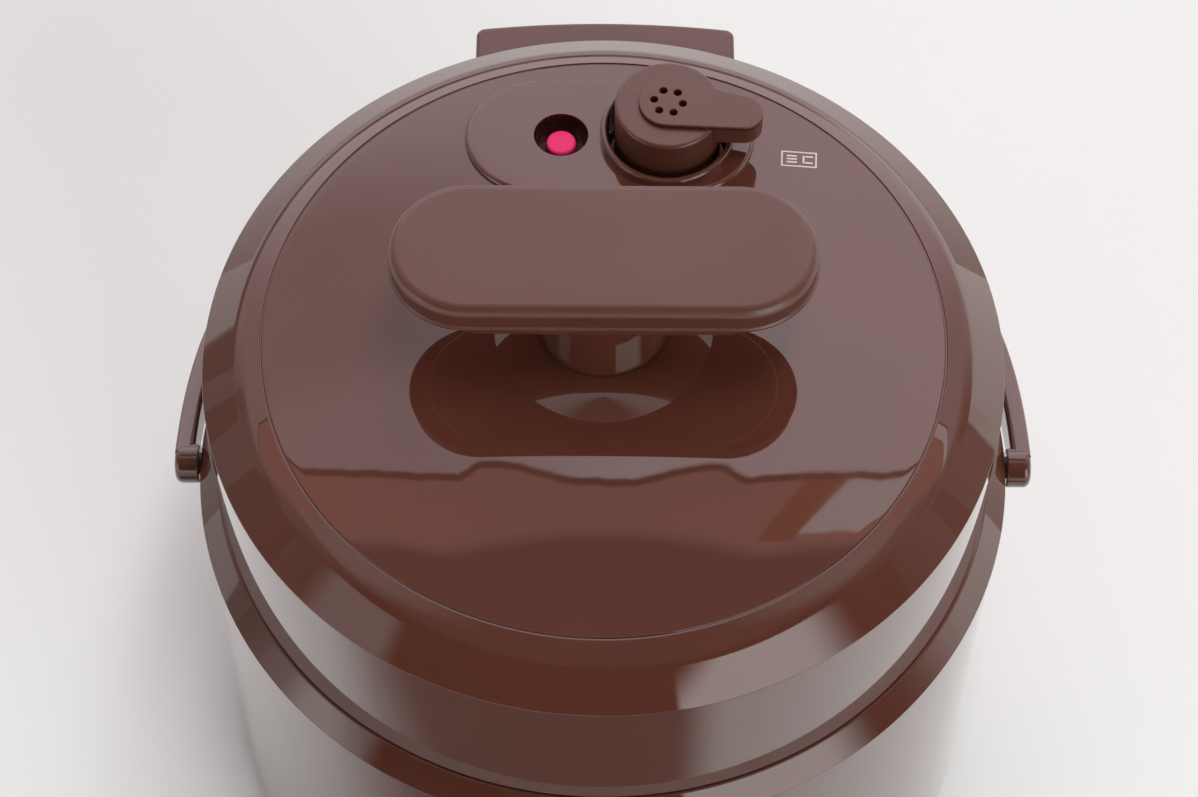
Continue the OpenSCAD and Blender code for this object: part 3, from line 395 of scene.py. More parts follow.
def skin(rings, closed=False):
    """A bmesh with faces between neighbouring rings. Rings are lists of points in millimetres."""
    mesh = bmesh.new()
    rows = [[mesh.verts.new(Vector(p) * MM) for p in ring] for ring in rings]
    pairs = list(zip(rows, rows[1:]))
    if closed:
        pairs.append((rows[-1], rows[0]))
    for low, high in pairs:
        count = len(low)
        for k in range(count):
            mesh.faces.new((low[k], low[(k + 1) % count], high[(k + 1) % count], high[k]))
    bmesh.ops.remove_doubles(mesh, verts=mesh.verts, dist=1e-7)
    bmesh.ops.recalc_face_normals(mesh, faces=mesh.faces)
    return mesh


def close_ends(mesh):
    """Fills every open loop of edges."""
    bmesh.ops.holes_fill(mesh, edges=mesh.edges, sides=0)


def move(mesh, matrix):
    """Moves all of a mesh by a matrix in metres."""
    bmesh.ops.transform(mesh, matrix=matrix, verts=mesh.verts)
    return mesh


def show(name, data):
    """A new object in the scene."""
    thing = bpy.data.objects.new(name, data)
    bpy.context.scene.collection.objects.link(thing)
    return thing


def smooth(piece):
    """Smooth faces, with creases where they meet at more than the crease angle."""
    piece.data.polygons.foreach_set("use_smooth", [True] * len(piece.data.polygons))
    piece.data.set_sharp_from_angle(angle=CREASE)
    normals = piece.modifiers.new("normals", "WEIGHTED_NORMAL")
    normals.keep_sharp = True


def keep(name, mesh, body, finish, replaces=()):
    """Makes the object of a bmesh, paints it and lets it ride."""
    data = bpy.data.meshes.new(name)
    mesh.to_mesh(data)
    mesh.free()
    piece = show(name, data)
    data.materials.append(finishes[finish])
    smooth(piece)
    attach(piece, body)
    for node in replaces:
        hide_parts(node)
    return piece


def turned(corners, at=(0, 0), around=192):
    """An outline of (radius, height) corners, turned round a vertical axis at `at`."""
    outline = rounded(corners)
    turns = [math.tau * k / around for k in range(around)]
    rings = [[(at[0] + max(p.x, 0) * math.cos(a), at[1] + max(p.x, 0) * math.sin(a), p.y) for a in turns]
             for p in outline]
    return skin(rings, closed=True)


def pill(half, run, at=(0, 0), steps=32, side=16):
    """Points of a pill outline: round ends of radius `half`, with their centres `run` apart."""
    right = arc((at[0] + run / 2, at[1]), half, -90, 90, steps)
    left = arc((at[0] - run / 2, at[1]), half, 90, 270, steps)
    upper = [right[-1].lerp(left[0], k / side) for k in range(1, side)]
    lower = [left[-1].lerp(right[0], k / side) for k in range(1, side)]
    return right + upper + left + lower


def pill_block(length, width, corners, at=(0, 0), steps=5):
    """A pill-shaped block. Its edge outline is a list of (inset from the widest line, height) corners."""
    half = width / 2
    run = length - width
    outline = rounded(corners, closed=False, steps=steps)
    rings = [[(p.x, p.y, inset.y) for p in pill(half - inset.x, run, at)] for inset in outline]
    floor = [[(p.x, p.y, outline[0].y) for p in pill(0.02, run, at)]]
    top = [[(p.x, p.y, outline[-1].y) for p in pill(0.02, run, at)]]
    mesh = skin(floor + rings + top)
    bmesh.ops.remove_doubles(mesh, verts=mesh.verts, dist=0.05 * MM)
    close_ends(mesh)
    return mesh


print("a turned test has", len(turned([(10, 0), (12, 0), (12, 2), (10, 2)]).faces), "faces")

# %% [markdown]
# ## Cutting wells and windows
# A hole is cut with an exact boolean, from a plain cutter that is thrown away afterwards. The evaluated
# result is read back as a bmesh, so the piece is made by `keep` like any other.


# %% Cutters
def cut(mesh, *cutters):
    """The mesh with every cutter taken away."""
    whole = bpy.data.meshes.new("whole")
    mesh.to_mesh(whole)
    mesh.free()
    target = show("whole", whole)
    tools = []
    for cutter in cutters:
        data = bpy.data.meshes.new("cutter")
        cutter.to_mesh(data)
        cutter.free()
        tool = show("cutter", data)
        trim = target.modifiers.new("cut", "BOOLEAN")
        trim.operation = "DIFFERENCE"
        trim.solver = "EXACT"
        trim.object = tool
        tools.append(tool)
    result = bmesh.new()
    result.from_object(target, bpy.context.evaluated_depsgraph_get())
    for thing in tools + [target]:
        bpy.data.objects.remove(thing)
    return result


def rod(radius, low, high, at=(0, 0), around=96):
    """A plain cylinder for cutting."""
    return turned([(0, low), (radius, low), (radius, high), (0, high)], at, around)


def block(low, high):
    """A plain box for cutting."""
    mesh = bmesh.new()
    bmesh.ops.create_cube(mesh, size=1)
    middle = (Vector(low) + Vector(high)) / 2 * MM
    size = (Vector(high) - Vector(low)) * MM
    return move(mesh, Matrix.Translation(middle) @ Matrix.Diagonal(size.to_4d()))


def soften_edges(mesh, width, chosen, segments=4):
    """Rounds off the sharp edges that `chosen` picks by their middle point, in millimetres."""
    edges = [e for e in mesh.edges if len(e.link_faces) == 2 and e.calc_face_angle() > 0.5
             and chosen((e.verts[0].co + e.verts[1].co) / 2 / MM)]
    bmesh.ops.bevel(mesh, geom=edges, offset=width * MM, segments=segments, profile=0.5,
                    affect="EDGES", clamp_overlap=True)
    return mesh


# %% [markdown]
# ## The body wall
# A straight-sided tube of polished plastic, open where the control panel and the mains inlet sit. It is
# turned as one ring and cut twice. The rim above is a sloping band with a thin lip at its foot, and
# the dark line under the lid is nothing but the real gap between the two mouldings.

# %% Wall and rim of the body
panel_low, panel_high = box_mm("control_panel")
inlet_low, inlet_high = box_mm("power_inlet")
wall = turned([(BODY_R - WALL, shell_low.z), (BODY_R, shell_low.z, 0.6), (BODY_R, BODY_TOP, 0.3),
               (BODY_R - WALL, BODY_TOP)])
panel_hole = block((panel_low.x - 0.2, -BODY_R - 5, panel_low.z - 0.2),
                   (panel_high.x + 0.2, -BODY_R + 12, panel_high.z + 0.2))
inlet_hole = block((inlet_low.x + 3, BODY_R - 10, inlet_low.z + 3),
                   (inlet_high.x - 3, BODY_R + 5, inlet_high.z - 3))
wall = cut(wall, panel_hole, inlet_hole)
keep("body_wall", wall, "base", "choc_gloss", ["outer_shell"])

ring_low, ring_high = box_mm("top_ring")
RIM_TOP_R = LID_R + 0.5
LIP_R = ring_high.x
skirt_r = BODY_R - WALL - 0.1
rim = turned([(skirt_r - 2.5, ring_low.z), (skirt_r, ring_low.z, 0.4), (skirt_r, BODY_TOP),
              (LIP_R, BODY_TOP, 0.15), (LIP_R, BODY_TOP + 0.6, 0.3), (RIM_TOP_R, ring_high.z, 0.9),
              (RIM_TOP_R - 3, ring_high.z, 0.6), (RIM_TOP_R - 3, BODY_TOP + 0.4, 0.6),
              (101, BODY_TOP + 0.4, 0.3), (101, BODY_TOP - 4), (skirt_r - 2.5, BODY_TOP - 4)])
keep("body_rim", rim, "base", "choc_gloss", ["top_ring"])
print(f"body {2 * BODY_R:.0f} across, rim lip {2 * LIP_R:.1f}")

# %% [markdown]
# ## The lid's rim
# A drum wall that turns over a crisp edge into a steep bevel, then a narrow land, then a groove. It is
# the part of the lid that carries the brightest reflections, so its corner radii are chosen one by one.

# %% Lid rim
LAND_R = LID_R - BEVEL.x
LAND_Z = EDGE_Z + BEVEL.y
inner = LID_R - WALL
rim = turned([(inner, LID_LOW, 0.4), (LID_R, LID_LOW, 0.7), (LID_R, EDGE_Z, 0.45), (LAND_R, LAND_Z, 26),
              (DISC_R + GROOVE, DISC_Z, 0.35), (DISC_R + GROOVE - 0.1, DISC_Z - 0.45, 0.2),
              (DISC_R + 0.02, DISC_Z - 0.45), (DISC_R + 0.02, DISC_Z - WALL), (DISC_R - 5, DISC_Z - WALL),
              (DISC_R - 5, DISC_Z - WALL - 2), (LAND_R - 1.2, LAND_Z - WALL - 1), (inner, EDGE_Z - 1.2, 1)],
             around=256)
keep("lid_wall", rim, "lid", "choc_gloss", ["lid_rim"])

# %% [markdown]
# ## The lid's disc
# The disc is a separate moulding with a crown of a few millimetres: a flat mirror would look lifeless,
# and the crown bends the horizon of the room and shrinks the mirror image of the handle. Its height
# falls off with the square of the radius. Under the handle a low boss rises to meet the post.
# The wells of the valve and the float pin go through the disc and are cut with plain rods.

# %% Lid disc
WELL_R = 18.7
FLOAT_WELL_R = 8.4
COLLAR = 2.0
crown_z = DISC_Z + CROWN
bush_low, bush_high = box_mm("spindle_bush")
post_low, post_high = box_mm("handle_post")
POST_R = (post_high.x - post_low.x) / 2
BOSS_R = 32.3
BOSS_TOP_R = POST_R + 0.5


def crown_at(r):
    """Height of the disc's crown at a radius."""
    return crown_z - CROWN * (r / DISC_R) ** 2


crown = [(r, crown_at(r)) for r in range(99, 35, -3)]
BOSS_H = bush_high.z - crown_at(BOSS_R)
slope = [(BOSS_TOP_R + (BOSS_R - BOSS_TOP_R) * k / 12, bush_high.z - BOSS_H * (k / 12) ** 1.2)
         for k in range(11, -1, -1)]
disc = turned([(bush_high.x, DISC_Z - WALL), (DISC_R, DISC_Z - WALL), (DISC_R, DISC_Z, 0.5)] + crown +
              [(BOSS_R, crown_at(BOSS_R), 0.4)] + slope + [(bush_high.x, bush_high.z)], around=256)
disc = cut(disc, rod(WELL_R + COLLAR - 0.2, DISC_Z - 9, DISC_Z + 9, VALVE_AT.xy),
           rod(FLOAT_WELL_R + 0.8, DISC_Z - 9, DISC_Z + 9, FLOAT_AT.xy))
keep("lid_disc", disc, "lid", "choc_gloss", ["lid_cover"])
print(f"boss {BOSS_H:.1f} high, post radius {POST_R:.1f}")

# %% [markdown]
# ## The island and its wells
# A low pill-shaped island carries the valve and the float pin. The valve stands in a round well with a
# raised collar, and the pin in a smaller one. The collar and the cup are turned separately: their lips
# are rounded, and a boolean would leave those lips ragged. The island is then sheared to lie along the
# slope that the crown has there.

# %% Island, collar and cups
ISLAND_TOP = DISC_Z + 3.0
ISLAND_LEAN = 2 * CROWN * VALVE_AT.y / DISC_R ** 2
ISLAND_AT = ((VALVE_AT.x + FLOAT_AT.x) / 4, VALVE_AT.y)
cover_low, cover_high = box_mm("lid_cover")
WELL_FLOOR = EDGE_Z + 2
island = pill_block(89, 45, [(0, DISC_Z - 2), (0, ISLAND_TOP, 1.5), (6, ISLAND_TOP)], ISLAND_AT)
island = cut(island, rod(WELL_R + COLLAR - 0.3, DISC_Z - 9, DISC_Z + 9, VALVE_AT.xy),
             rod(FLOAT_WELL_R, DISC_Z - 9, DISC_Z + 9, FLOAT_AT.xy))
soften_edges(island, 0.5, lambda p: p.z > ISLAND_TOP - 0.1
             and (p.xy - FLOAT_AT.xy).length < FLOAT_WELL_R + 1)
for corner in island.verts:
    if corner.co.z > DISC_Z * MM:
        corner.co.z -= ISLAND_LEAN * (corner.co.y - VALVE_AT.y * MM)
keep("valve_island", island, "lid", "choc_gloss")

collar_top = cover_high.z
collar_r = WELL_R + COLLAR
collar = turned([(collar_r, DISC_Z - 3), (collar_r, collar_top, 0.9), (WELL_R, collar_top - 0.1, 0.8),
                 (WELL_R, WELL_FLOOR, 1.0), (4.2, WELL_FLOOR), (4.2, WELL_FLOOR - 1.6),
                 (collar_r, WELL_FLOOR - 1.6, 0.8)], VALVE_AT.xy, 144)
keep("valve_collar", collar, "lid", "choc_gloss")
cup_r = FLOAT_WELL_R + 1.6
cup_top = ISLAND_TOP - 1.2
cup = turned([(cup_r, cup_top), (FLOAT_WELL_R, cup_top), (FLOAT_WELL_R, WELL_FLOOR),
              (5.0, WELL_FLOOR), (5.0, WELL_FLOOR - 1.6), (cup_r, WELL_FLOOR - 1.6, 0.6)],
             FLOAT_AT.xy, 96)
keep("float_well", cup, "lid", "choc_gloss")
print(f"island top at {ISLAND_TOP:.1f}, collar top at {collar_top:.1f}")

# %% [markdown]
# ## The valve knob and its lever
# The knob is a turned cap. Its lever lies in the cap as a thin keyhole-shaped plate and grows thicker
# outside it, so a finger can push it. Six vent holes go through both, a little wider at the mouth.

# %% Knob and lever
VENT_R = 1.25
VENT_RING_R = 4.4
LEVER_ANGLE = -10
VENT_ANGLES = [math.radians(LEVER_ANGLE + 60 * k) for k in range(6)]
VENTS = [(VALVE_AT.x + VENT_RING_R * math.cos(a), VALVE_AT.y + VENT_RING_R * math.sin(a))
         for a in VENT_ANGLES]
knob_top = knob_high.z
knob = turned([(0, knob_top - 3), (KNOB_R - 5, knob_top - 3, 1), (KNOB_R - 5, knob_low.z),
               (KNOB_R, knob_low.z, 0.5), (KNOB_R, knob_top, 1.1), (0, knob_top)], VALVE_AT.xy, 144)
knob = cut(knob, *[rod(VENT_R, knob_top - 5, knob_top + 1, vent, 32) for vent in VENTS])
keep("valve_knob_cap", knob, "steam_valve", "choc_matte", ["valve_knob"])

LEVER_R, TIP_R, REACH = 9.0, 6.0, 29.0


def keyhole(grow=0.0):
    """Outline of the lever along +X: a round end, straight sides that taper, and a blunt round tip."""
    run = REACH - TIP_R
    lean = math.degrees(math.acos((LEVER_R - TIP_R) / run))
    tip = arc((run, 0), TIP_R + grow, -lean, lean, 24)
    root = arc((0, 0), LEVER_R + grow, lean, 360 - lean, 40)
    return tip + root


lever_low, lever_high = box_mm("valve_lever")
lever_turn = Matrix.Rotation(math.radians(LEVER_ANGLE), 3, "Z")


def lever_ring(inset, z):
    """The lever's outline at one height, turned and moved to the valve."""
    middle = Vector((VALVE_AT.x, VALVE_AT.y, 0))
    return [lever_turn @ Vector((p.x, p.y, z)) + middle for p in keyhole(-inset)]


def lever_block(low, high, lip):
    """The keyhole outline between two heights, with rounded edges."""
    outline = rounded([(3, low), (0, low, lip), (0, high, lip), (3, high)], closed=False)
    mesh = skin([lever_ring(p.x, p.y) for p in outline])
    close_ends(mesh)
    return mesh


plate = lever_block(knob_top - 0.4, lever_high.z, 0.35)
plate = cut(plate, *[rod(VENT_R, knob_top - 5, knob_top + 5, vent, 32) for vent in VENTS])
soften_edges(plate, 0.2, lambda p: p.z > lever_high.z - 0.05 and (p.xy - VALVE_AT.xy).length < 6.5, 2)
keep("lever_plate", plate, "steam_valve", "choc_matte", ["valve_lever"])
finger = cut(lever_block(lever_low.z, lever_high.z - 0.02, 0.7),
             rod(KNOB_R - 0.1, lever_low.z - 1, knob_top - 0.3, VALVE_AT.xy, 144),
             rod(8, lever_low.z - 1, lever_high.z + 1, VALVE_AT.xy, 144))
keep("lever_finger", finger, "steam_valve", "choc_matte")

# %% [markdown]
# ## The float pin
# A dyed cap on a steel stem, in a steel guide at the bottom of its well. The cap is a button with a soft
# edge. The guide gets a bright rolled lip, the glint that is seen beside the cap.

# %% Float cap and guide
FLOAT_R = (float_high.x - float_low.x) / 2
cap = turned([(0, float_low.z), (FLOAT_R, float_low.z, 0.3), (FLOAT_R, float_high.z, 0.9), (0, float_high.z)],
             FLOAT_AT.xy, 96)
keep("float_button", cap, "float_pin", "pin_pink", ["float_cap"])
guide_low, guide_high = box_mm("float_guide")
GUIDE_BORE_R, GUIDE_R, GUIDE_FLANGE_R = 2.55, 4.9, 6.9
flange_top = guide_low.z + 3
guide = turned([(GUIDE_BORE_R, guide_low.z), (GUIDE_FLANGE_R, guide_low.z, 0.3),
                (GUIDE_FLANGE_R, flange_top, 0.3), (GUIDE_R, flange_top),
                (GUIDE_R, guide_high.z, 0.8), (GUIDE_BORE_R, guide_high.z, 0.4)], FLOAT_AT.xy, 96)
keep("float_sleeve", guide, "lid", "steel", ["float_guide"])

# %% [markdown]
# ## The T handle
# The handle is a pill-shaped cap over a shorter underplate, on a straight post. The cap's upper edge has
# a broad radius that draws a soft light line round it. At its foot the wall ends in a fine bead, which
# catches a second, thinner line. The underplate stays inside that bead, so its side is always in shade.

# %% Grip, underplate and post
grip_low, grip_high = box_mm("handle_grip")
grip_size = grip_high - grip_low
under_low, under_high = box_mm("handle_underplate")
under_size = under_high - under_low
grip = pill_block(grip_size.x, grip_size.y,
                  [(3, grip_low.z), (0, grip_low.z, 0.3), (0, grip_low.z + 0.8, 0.35),
                   (0.5, grip_low.z + 1.3, 0.5), (0.4, grip_high.z, 3.0), (8, grip_high.z)], steps=8)
keep("t_handle_cap", grip, "t_handle", "choc_matte", ["handle_grip"])
under = pill_block(under_size.x, under_size.y,
                   [(3, under_low.z), (1.0, under_low.z, 0.5), (0, under_low.z + 1, 0.5), (0, under_high.z)])
keep("t_handle_base", under, "t_handle", "choc_matte", ["handle_underplate"])
post = turned([(8, post_low.z), (POST_R, post_low.z, 0.4), (POST_R, post_high.z), (8, post_high.z)])
keep("t_handle_post", post, "t_handle", "choc_gloss", ["handle_post"])
print(f"handle {grip_size.x:.0f} by {grip_size.y:.1f}, post foot at {post_low.z:.1f}")

# %% [markdown]
# ## The hinge cover
# A block with a gently curved back and rounded ends, moulded with the barrel of the hinge. Its outline
# is drawn once from arcs and carried up with an edge radius at the top, and the barrel is a rod below.

# %% Hinge cover
hood_low, hood_high = box_mm("hinge_cover")
HINGE_HALF = hood_high.x
HOOD_BACK = 132.4
HOOD_FRONT = 114
HOOD_CORNER = 5.5
BACK_R = 315.0
BARREL_R, BARREL_BORE_R, BARREL_INNER = 8, 2.05, 17.2
pin_low, pin_high = box_mm("hinge_pin")
PIN_AT = (pin_low + pin_high) / 2


def hinge_outline(inset):
    """Seen from above: an arc at the back, round corners, and a front hidden in the lid wall."""
    half = HINGE_HALF - inset
    depth = HOOD_BACK - inset
    lean = math.degrees(math.asin((half - 5) / BACK_R))
    face = [Vector((p.x, p.y)) for p in arc((0, depth - BACK_R), BACK_R, 90 - lean, 90 + lean, 24)]
    drop = math.sqrt(BACK_R ** 2 - half ** 2)
    corner = depth - BACK_R + drop
    points = [(face[0].x, face[0].y), (half, corner, HOOD_CORNER), (half, HOOD_FRONT),
              (-half, HOOD_FRONT), (-half, corner, HOOD_CORNER), (face[-1].x, face[-1].y)]
    points += [(p.x, p.y) for p in face[-2:0:-1]]
    return rounded(points, steps=8)


outline = rounded([(0, LID_LOW + 0.2), (0, hood_high.z, 1.6), (6, hood_high.z)], closed=False, steps=6)
rings = [[(p.x, p.y, level.y) for p in hinge_outline(level.x)] for level in outline]
hood = skin(rings)
close_ends(hood)
hood = cut(hood, rod(LID_R - 0.8, 100, 300, around=256))
keep("hinge_hood", hood, "lid", "choc_matte", ["hinge_cover"])
barrel = turned([(BARREL_BORE_R, -HINGE_HALF), (BARREL_R, -HINGE_HALF, 0.8), (BARREL_R, -BARREL_INNER),
                 (BARREL_BORE_R, -BARREL_INNER)], around=64)
to_pin = Matrix.Translation(Vector((0, PIN_AT.y, PIN_AT.z)) * MM)
for side in (1, -1):
    end = barrel.copy()
    move(end, to_pin @ Matrix.Rotation(side * math.pi / 2, 4, "Y"))
    keep(f"hinge_barrel_{'left' if side > 0 else 'right'}", end, "lid", "choc_matte")
barrel.free()

# %% [markdown]
# ## The bail
# The carry handle follows a superellipse, the curve between an ellipse and a rectangle, so that it hugs
# the round body and still leaves room behind. A rounded bar is swept along it, and each end is a flat
# round hub on its stud. It hangs a few degrees below level, as it does when it is let go.

# %% Bail strap, hubs and grip
bail_low, bail_high = box_mm("bail_handle")
stud_low, stud_high = box_mm("bail_studs")
BAIL_POWER = 2.4
BAIL_T, BAIL_H = 6.0, 12.0
HUB_R, HUB_T = 6.2, 7.7
DROOP = math.radians(12)
STUD_R = 3.5
PIVOT_Z = (stud_low.z + stud_high.z) / 2
bail_half = bail_high.x
bail_reach = (bail_high.y - BAIL_H / 2 * math.sin(DROOP)) / math.cos(DROOP)
pivot = Matrix.Translation(Vector((0, 0, PIVOT_Z)) * MM)
stowed = pivot @ Matrix.Rotation(-DROOP, 4, "X")


def bail_point(half, reach, turn):
    """A point of the superellipse, from one pivot (0 degrees) over the back to the other (180)."""
    s = math.sin(math.radians(turn))
    x = half * (1 - s ** BAIL_POWER) ** (1 / BAIL_POWER)
    return Vector((math.copysign(x, math.cos(math.radians(turn))), reach * s, 0))


# The bar's section: its inner top edge is rounded most, where the hand's fingers go under.
section = rounded([(-BAIL_T / 2, -BAIL_H / 2, 1.2), (BAIL_T / 2, -BAIL_H / 2, 1.2),
                   (BAIL_T / 2, BAIL_H / 2, 1.0), (-BAIL_T / 2, BAIL_H / 2, 2.4)])
rings = []
for step in range(121):
    turn = 180 * step / 120
    outer = bail_point(bail_half, bail_reach, turn)
    inner = bail_point(bail_half - BAIL_T, bail_reach - BAIL_T, turn)
    middle = (outer + inner) / 2
    out = (outer - inner).normalized()
    rings.append([middle + out * p.x + Vector((0, 0, p.y)) for p in section])
strap = skin(rings)
close_ends(strap)
move(strap, stowed)
keep("bail_strap", strap, "bail", "choc_gloss", ["bail_handle"])

for name, side in (("bail_hub_right", 1), ("bail_hub_left", -1)):
    hub = turned([(0, bail_half - 1.3), (STUD_R + 0.05, bail_half - 1.3), (STUD_R + 0.05, bail_half - HUB_T),
                  (HUB_R, bail_half - HUB_T, 0.7), (HUB_R, bail_half, 2.2), (0, bail_half)], around=72)
    move(hub, pivot @ Matrix.Rotation(side * math.pi / 2, 4, "Y"))
    keep(name, hub, "bail", "choc_gloss")

grip_mid = bail_reach - BAIL_T / 2
grip = pill_block(100, 13, [(4, -9), (0, -9, 3.2), (0, 9, 3.2), (4, 9)], (0, grip_mid))
move(grip, stowed)
keep("bail_grip_sleeve", grip, "bail", "choc_matte", ["bail_grip"])
print(f"bail half width {bail_half:.1f}, reach {bail_reach:.1f}")

# %% [markdown]
# ## The control panel
# The panel is a shallow tray let into the front wall. Everything on it is drawn lying flat, with its face
# up, and is then turned to the front in one step. A thin raised frame rings the dark window, and the
# buttons are dished so that a fingertip finds them. Their signs lie inside the dish, out of harm's way.


# %% Tiles, signs and the turn to the front
def rectangle(width, height, corner, inset=0.0):
    """A rectangle with round corners, drawn round the origin."""
    x, y = width / 2 - inset, height / 2 - inset
    radius = max(corner - inset, 0.2)
    return rounded([(-x, -y, radius), (x, -y, radius), (x, y, radius), (-x, y, radius)], steps=6)


def tile(width, height, corner, edge):
    """A rectangular block. Its edge outline is a list of (inset, height) corners, from the back up."""
    outline = rounded(edge, closed=False, steps=4)
    mesh = skin([[(p.x, p.y, level.y) for p in rectangle(width, height, corner, level.x)]
                 for level in outline])
    close_ends(mesh)
    return mesh


def add_part(whole, part):
    """Adds one bmesh to another and frees it."""
    data = bpy.data.meshes.new("part")
    part.to_mesh(data)
    part.free()
    whole.from_mesh(data)
    bpy.data.meshes.remove(data)


def signs(shapes, low, high):
    """Flat raised shapes, each a list of points, in one mesh."""
    whole = bmesh.new()
    for shape in shapes:
        part = skin([[(x, y, z) for x, y in shape] for z in (low, high)])
        close_ends(part)
        add_part(whole, part)
    return whole


def bar(width, height, at=(0, 0), lean=0.0):
    """The four points of a small bar, with its sides leaning by `lean`."""
    x, y = width / 2, height / 2
    return [(at[0] - x - lean, at[1] - y), (at[0] + x - lean, at[1] - y), (at[0] + x + lean, at[1] + y),
            (at[0] - x + lean, at[1] + y)]


def facing_front(mesh, at):
    """Stands a flat-drawn piece up, with its face to the front and its origin at `at`."""
    stand = Matrix.Translation(Vector(at) * MM) @ Matrix.Rotation(math.pi / 2, 4, "X")
    return move(mesh, stand)


finishes["print_pale"] = moulded("print_pale", shade(206, 198, 192), 0.5, 0.4, 0.003)
finishes["print_grey"] = moulded("print_grey", shade(92, 88, 88), 0.35, 0.4, 0.003)

# %% Panel, frame and window
window_low, window_high = box_mm("display_window")
window_size = window_high - window_low
window_mid = (window_low + window_high) / 2
panel_size = panel_high - panel_low
panel_mid = (panel_low + panel_high) / 2
BUTTONS = ("button_menu", "button_less", "button_more", "button_start")
button_boxes = [box_mm(node) for node in BUTTONS]
button_z = (button_boxes[0][0].z + button_boxes[0][1].z) / 2
BUTTON_R = 6.0
tray = facing_front(tile(panel_size.x, panel_size.z, 6, [(0, 0), (0, panel_size.y, 1.6), (5, panel_size.y)]),
                    (0, panel_high.y, panel_mid.z))
hollow = facing_front(tile(panel_size.x - 5, panel_size.z - 5, 4, [(0, -1), (0, panel_size.y - 2.5)]),
                      (0, panel_high.y, panel_mid.z))
opening = facing_front(tile(window_size.x + 0.2, window_size.z + 0.2, 1, [(0, -4), (0, 4)]),
                       (0, panel_low.y, window_mid.z))
bores = [facing_front(rod(BUTTON_R + 0.3, -5, 2), ((low.x + high.x) / 2, panel_low.y, button_z))
         for low, high in button_boxes]
tray = cut(tray, hollow, opening, *bores)
keep("panel_tray", tray, "base", "choc_matte", ["control_panel"])

bezel = tile(window_size.x + 6, window_size.z + 6, 3, [(0, -0.3), (0, 0.9, 0.4), (1.5, 0.9)])
bezel = cut(bezel, tile(window_size.x, window_size.z, 1, [(0, -2), (0, 3)]))
keep("display_bezel", facing_front(bezel, (0, panel_low.y, window_mid.z)), "base", "choc_gloss")
glass = tile(window_size.x, window_size.z, 1, [(0, 0), (0, window_size.y, 0.3), (2, window_size.y)])
keep("display_pane", facing_front(glass, (0, window_high.y, window_mid.z)), "base", "display_glass",
     ["display_window"])

# %% Digits that are switched off
SEGMENT = 1.1
DIGIT_W, DIGIT_H = 5.6, 11.0
LEAN = 0.08


def digit(middle):
    """The seven segments of one digit, all of them, as a display shows when it is off."""
    shapes = []
    for level in (-1, 0, 1):
        y = level * (DIGIT_H / 2 - SEGMENT / 2)
        shapes.append(bar(DIGIT_W - SEGMENT * 1.6, SEGMENT, (middle + y * LEAN, y)))
    for side in (-1, 1):
        for level in (-1, 1):
            y = level * DIGIT_H / 4
            x = middle + side * (DIGIT_W - SEGMENT) / 2 + y * LEAN
            shapes.append(bar(SEGMENT, DIGIT_H / 2 - SEGMENT * 1.1, (x, y), LEAN * DIGIT_H / 4))
    return shapes


segments = [shape for middle in (-15, -6.5, 6.5, 15) for shape in digit(middle)]
segments += [bar(1.2, 1.2, (y * LEAN, y)) for y in (-2.4, 2.4)]
digits = facing_front(signs(segments, -0.1, 0.08), (0, window_low.y, window_mid.z))
keep("display_digits", digits, "base", "print_grey")

# %% Buttons and their signs
SIGNS = {
    "button_menu": [bar(5.2, 0.9, (0, y)) for y in (-1.7, 0, 1.7)],
    "button_less": [bar(5.2, 1.0)],
    "button_more": [bar(5.2, 1.0), bar(1.0, 5.2)],
    "button_start": [[(-1.6, -2.4), (2.6, 0), (-1.6, 2.4)]],
}
for node, (low, high) in zip(BUTTONS, button_boxes):
    depth = high.y - low.y
    flange_r = (high.x - low.x) / 2
    push = turned([(0, 0), (2, 0, 0.3), (2, 1.6), (flange_r, 1.6, 0.2), (flange_r, 3.0, 0.2),
                   (BUTTON_R, 3.0), (BUTTON_R, depth, 0.8), (4.7, depth, 0.5), (4.0, depth - 0.5, 0.8),
                   (0, depth - 0.6)], around=72)
    at = ((low.x + high.x) / 2, high.y, button_z)
    body = frame["nodes"][node]["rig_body"]
    keep(f"{node}_cap", facing_front(push, at), body, "choc_gloss", [node])
    sign = signs(SIGNS[node], depth - 0.8, depth - 0.42)
    keep(f"{node}_sign", facing_front(sign, at), body, "print_pale")
print("panel faces the front at y =", round(panel_low.y, 1))

# %% [markdown]
# ## A small framed sign on the lid
# Beside the valve the lid carries a printed sign. Here it is a plain frame with three short bars and an
# open bracket in it, drawn with the same flat shapes as the signs on the buttons. Each of its corners is
# then lowered or raised to follow the crown of the disc.

# %% Framed sign
SIGN_R = 87.7
SIGN_AT = Vector((59.7, 64.2, crown_at(SIGN_R)))
SIGN_TURN = math.radians(-3)
SIGN_W, SIGN_H, LINE = 11.0, 6.0, 0.5
outlines = [bar(SIGN_W, LINE, (0, y)) for y in (-SIGN_H / 2 + LINE / 2, SIGN_H / 2 - LINE / 2)]
outlines += [bar(LINE, SIGN_H - 2 * LINE, (x, 0)) for x in (-SIGN_W / 2 + LINE / 2, SIGN_W / 2 - LINE / 2)]
outlines += [bar(3.2, 0.6, (-2.2, y)) for y in (-1.2, 0, 1.2)]
outlines += [bar(0.6, 3.0, (1.4, 0)), bar(2.4, 0.6, (3.1, 1.2)), bar(2.4, 0.6, (3.1, -1.2))]
framed = signs(outlines, -0.2, 0.05)
move(framed, Matrix.Translation(SIGN_AT * MM) @ Matrix.Rotation(SIGN_TURN, 4, "Z"))
for corner in framed.verts:
    corner.co.z += (crown_at(corner.co.xy.length / MM) - SIGN_AT.z) * MM
keep("lid_sign", framed, "lid", "print_pale")
print(f"sign of {SIGN_W} by {SIGN_H} at height {SIGN_AT.z:.1f}")

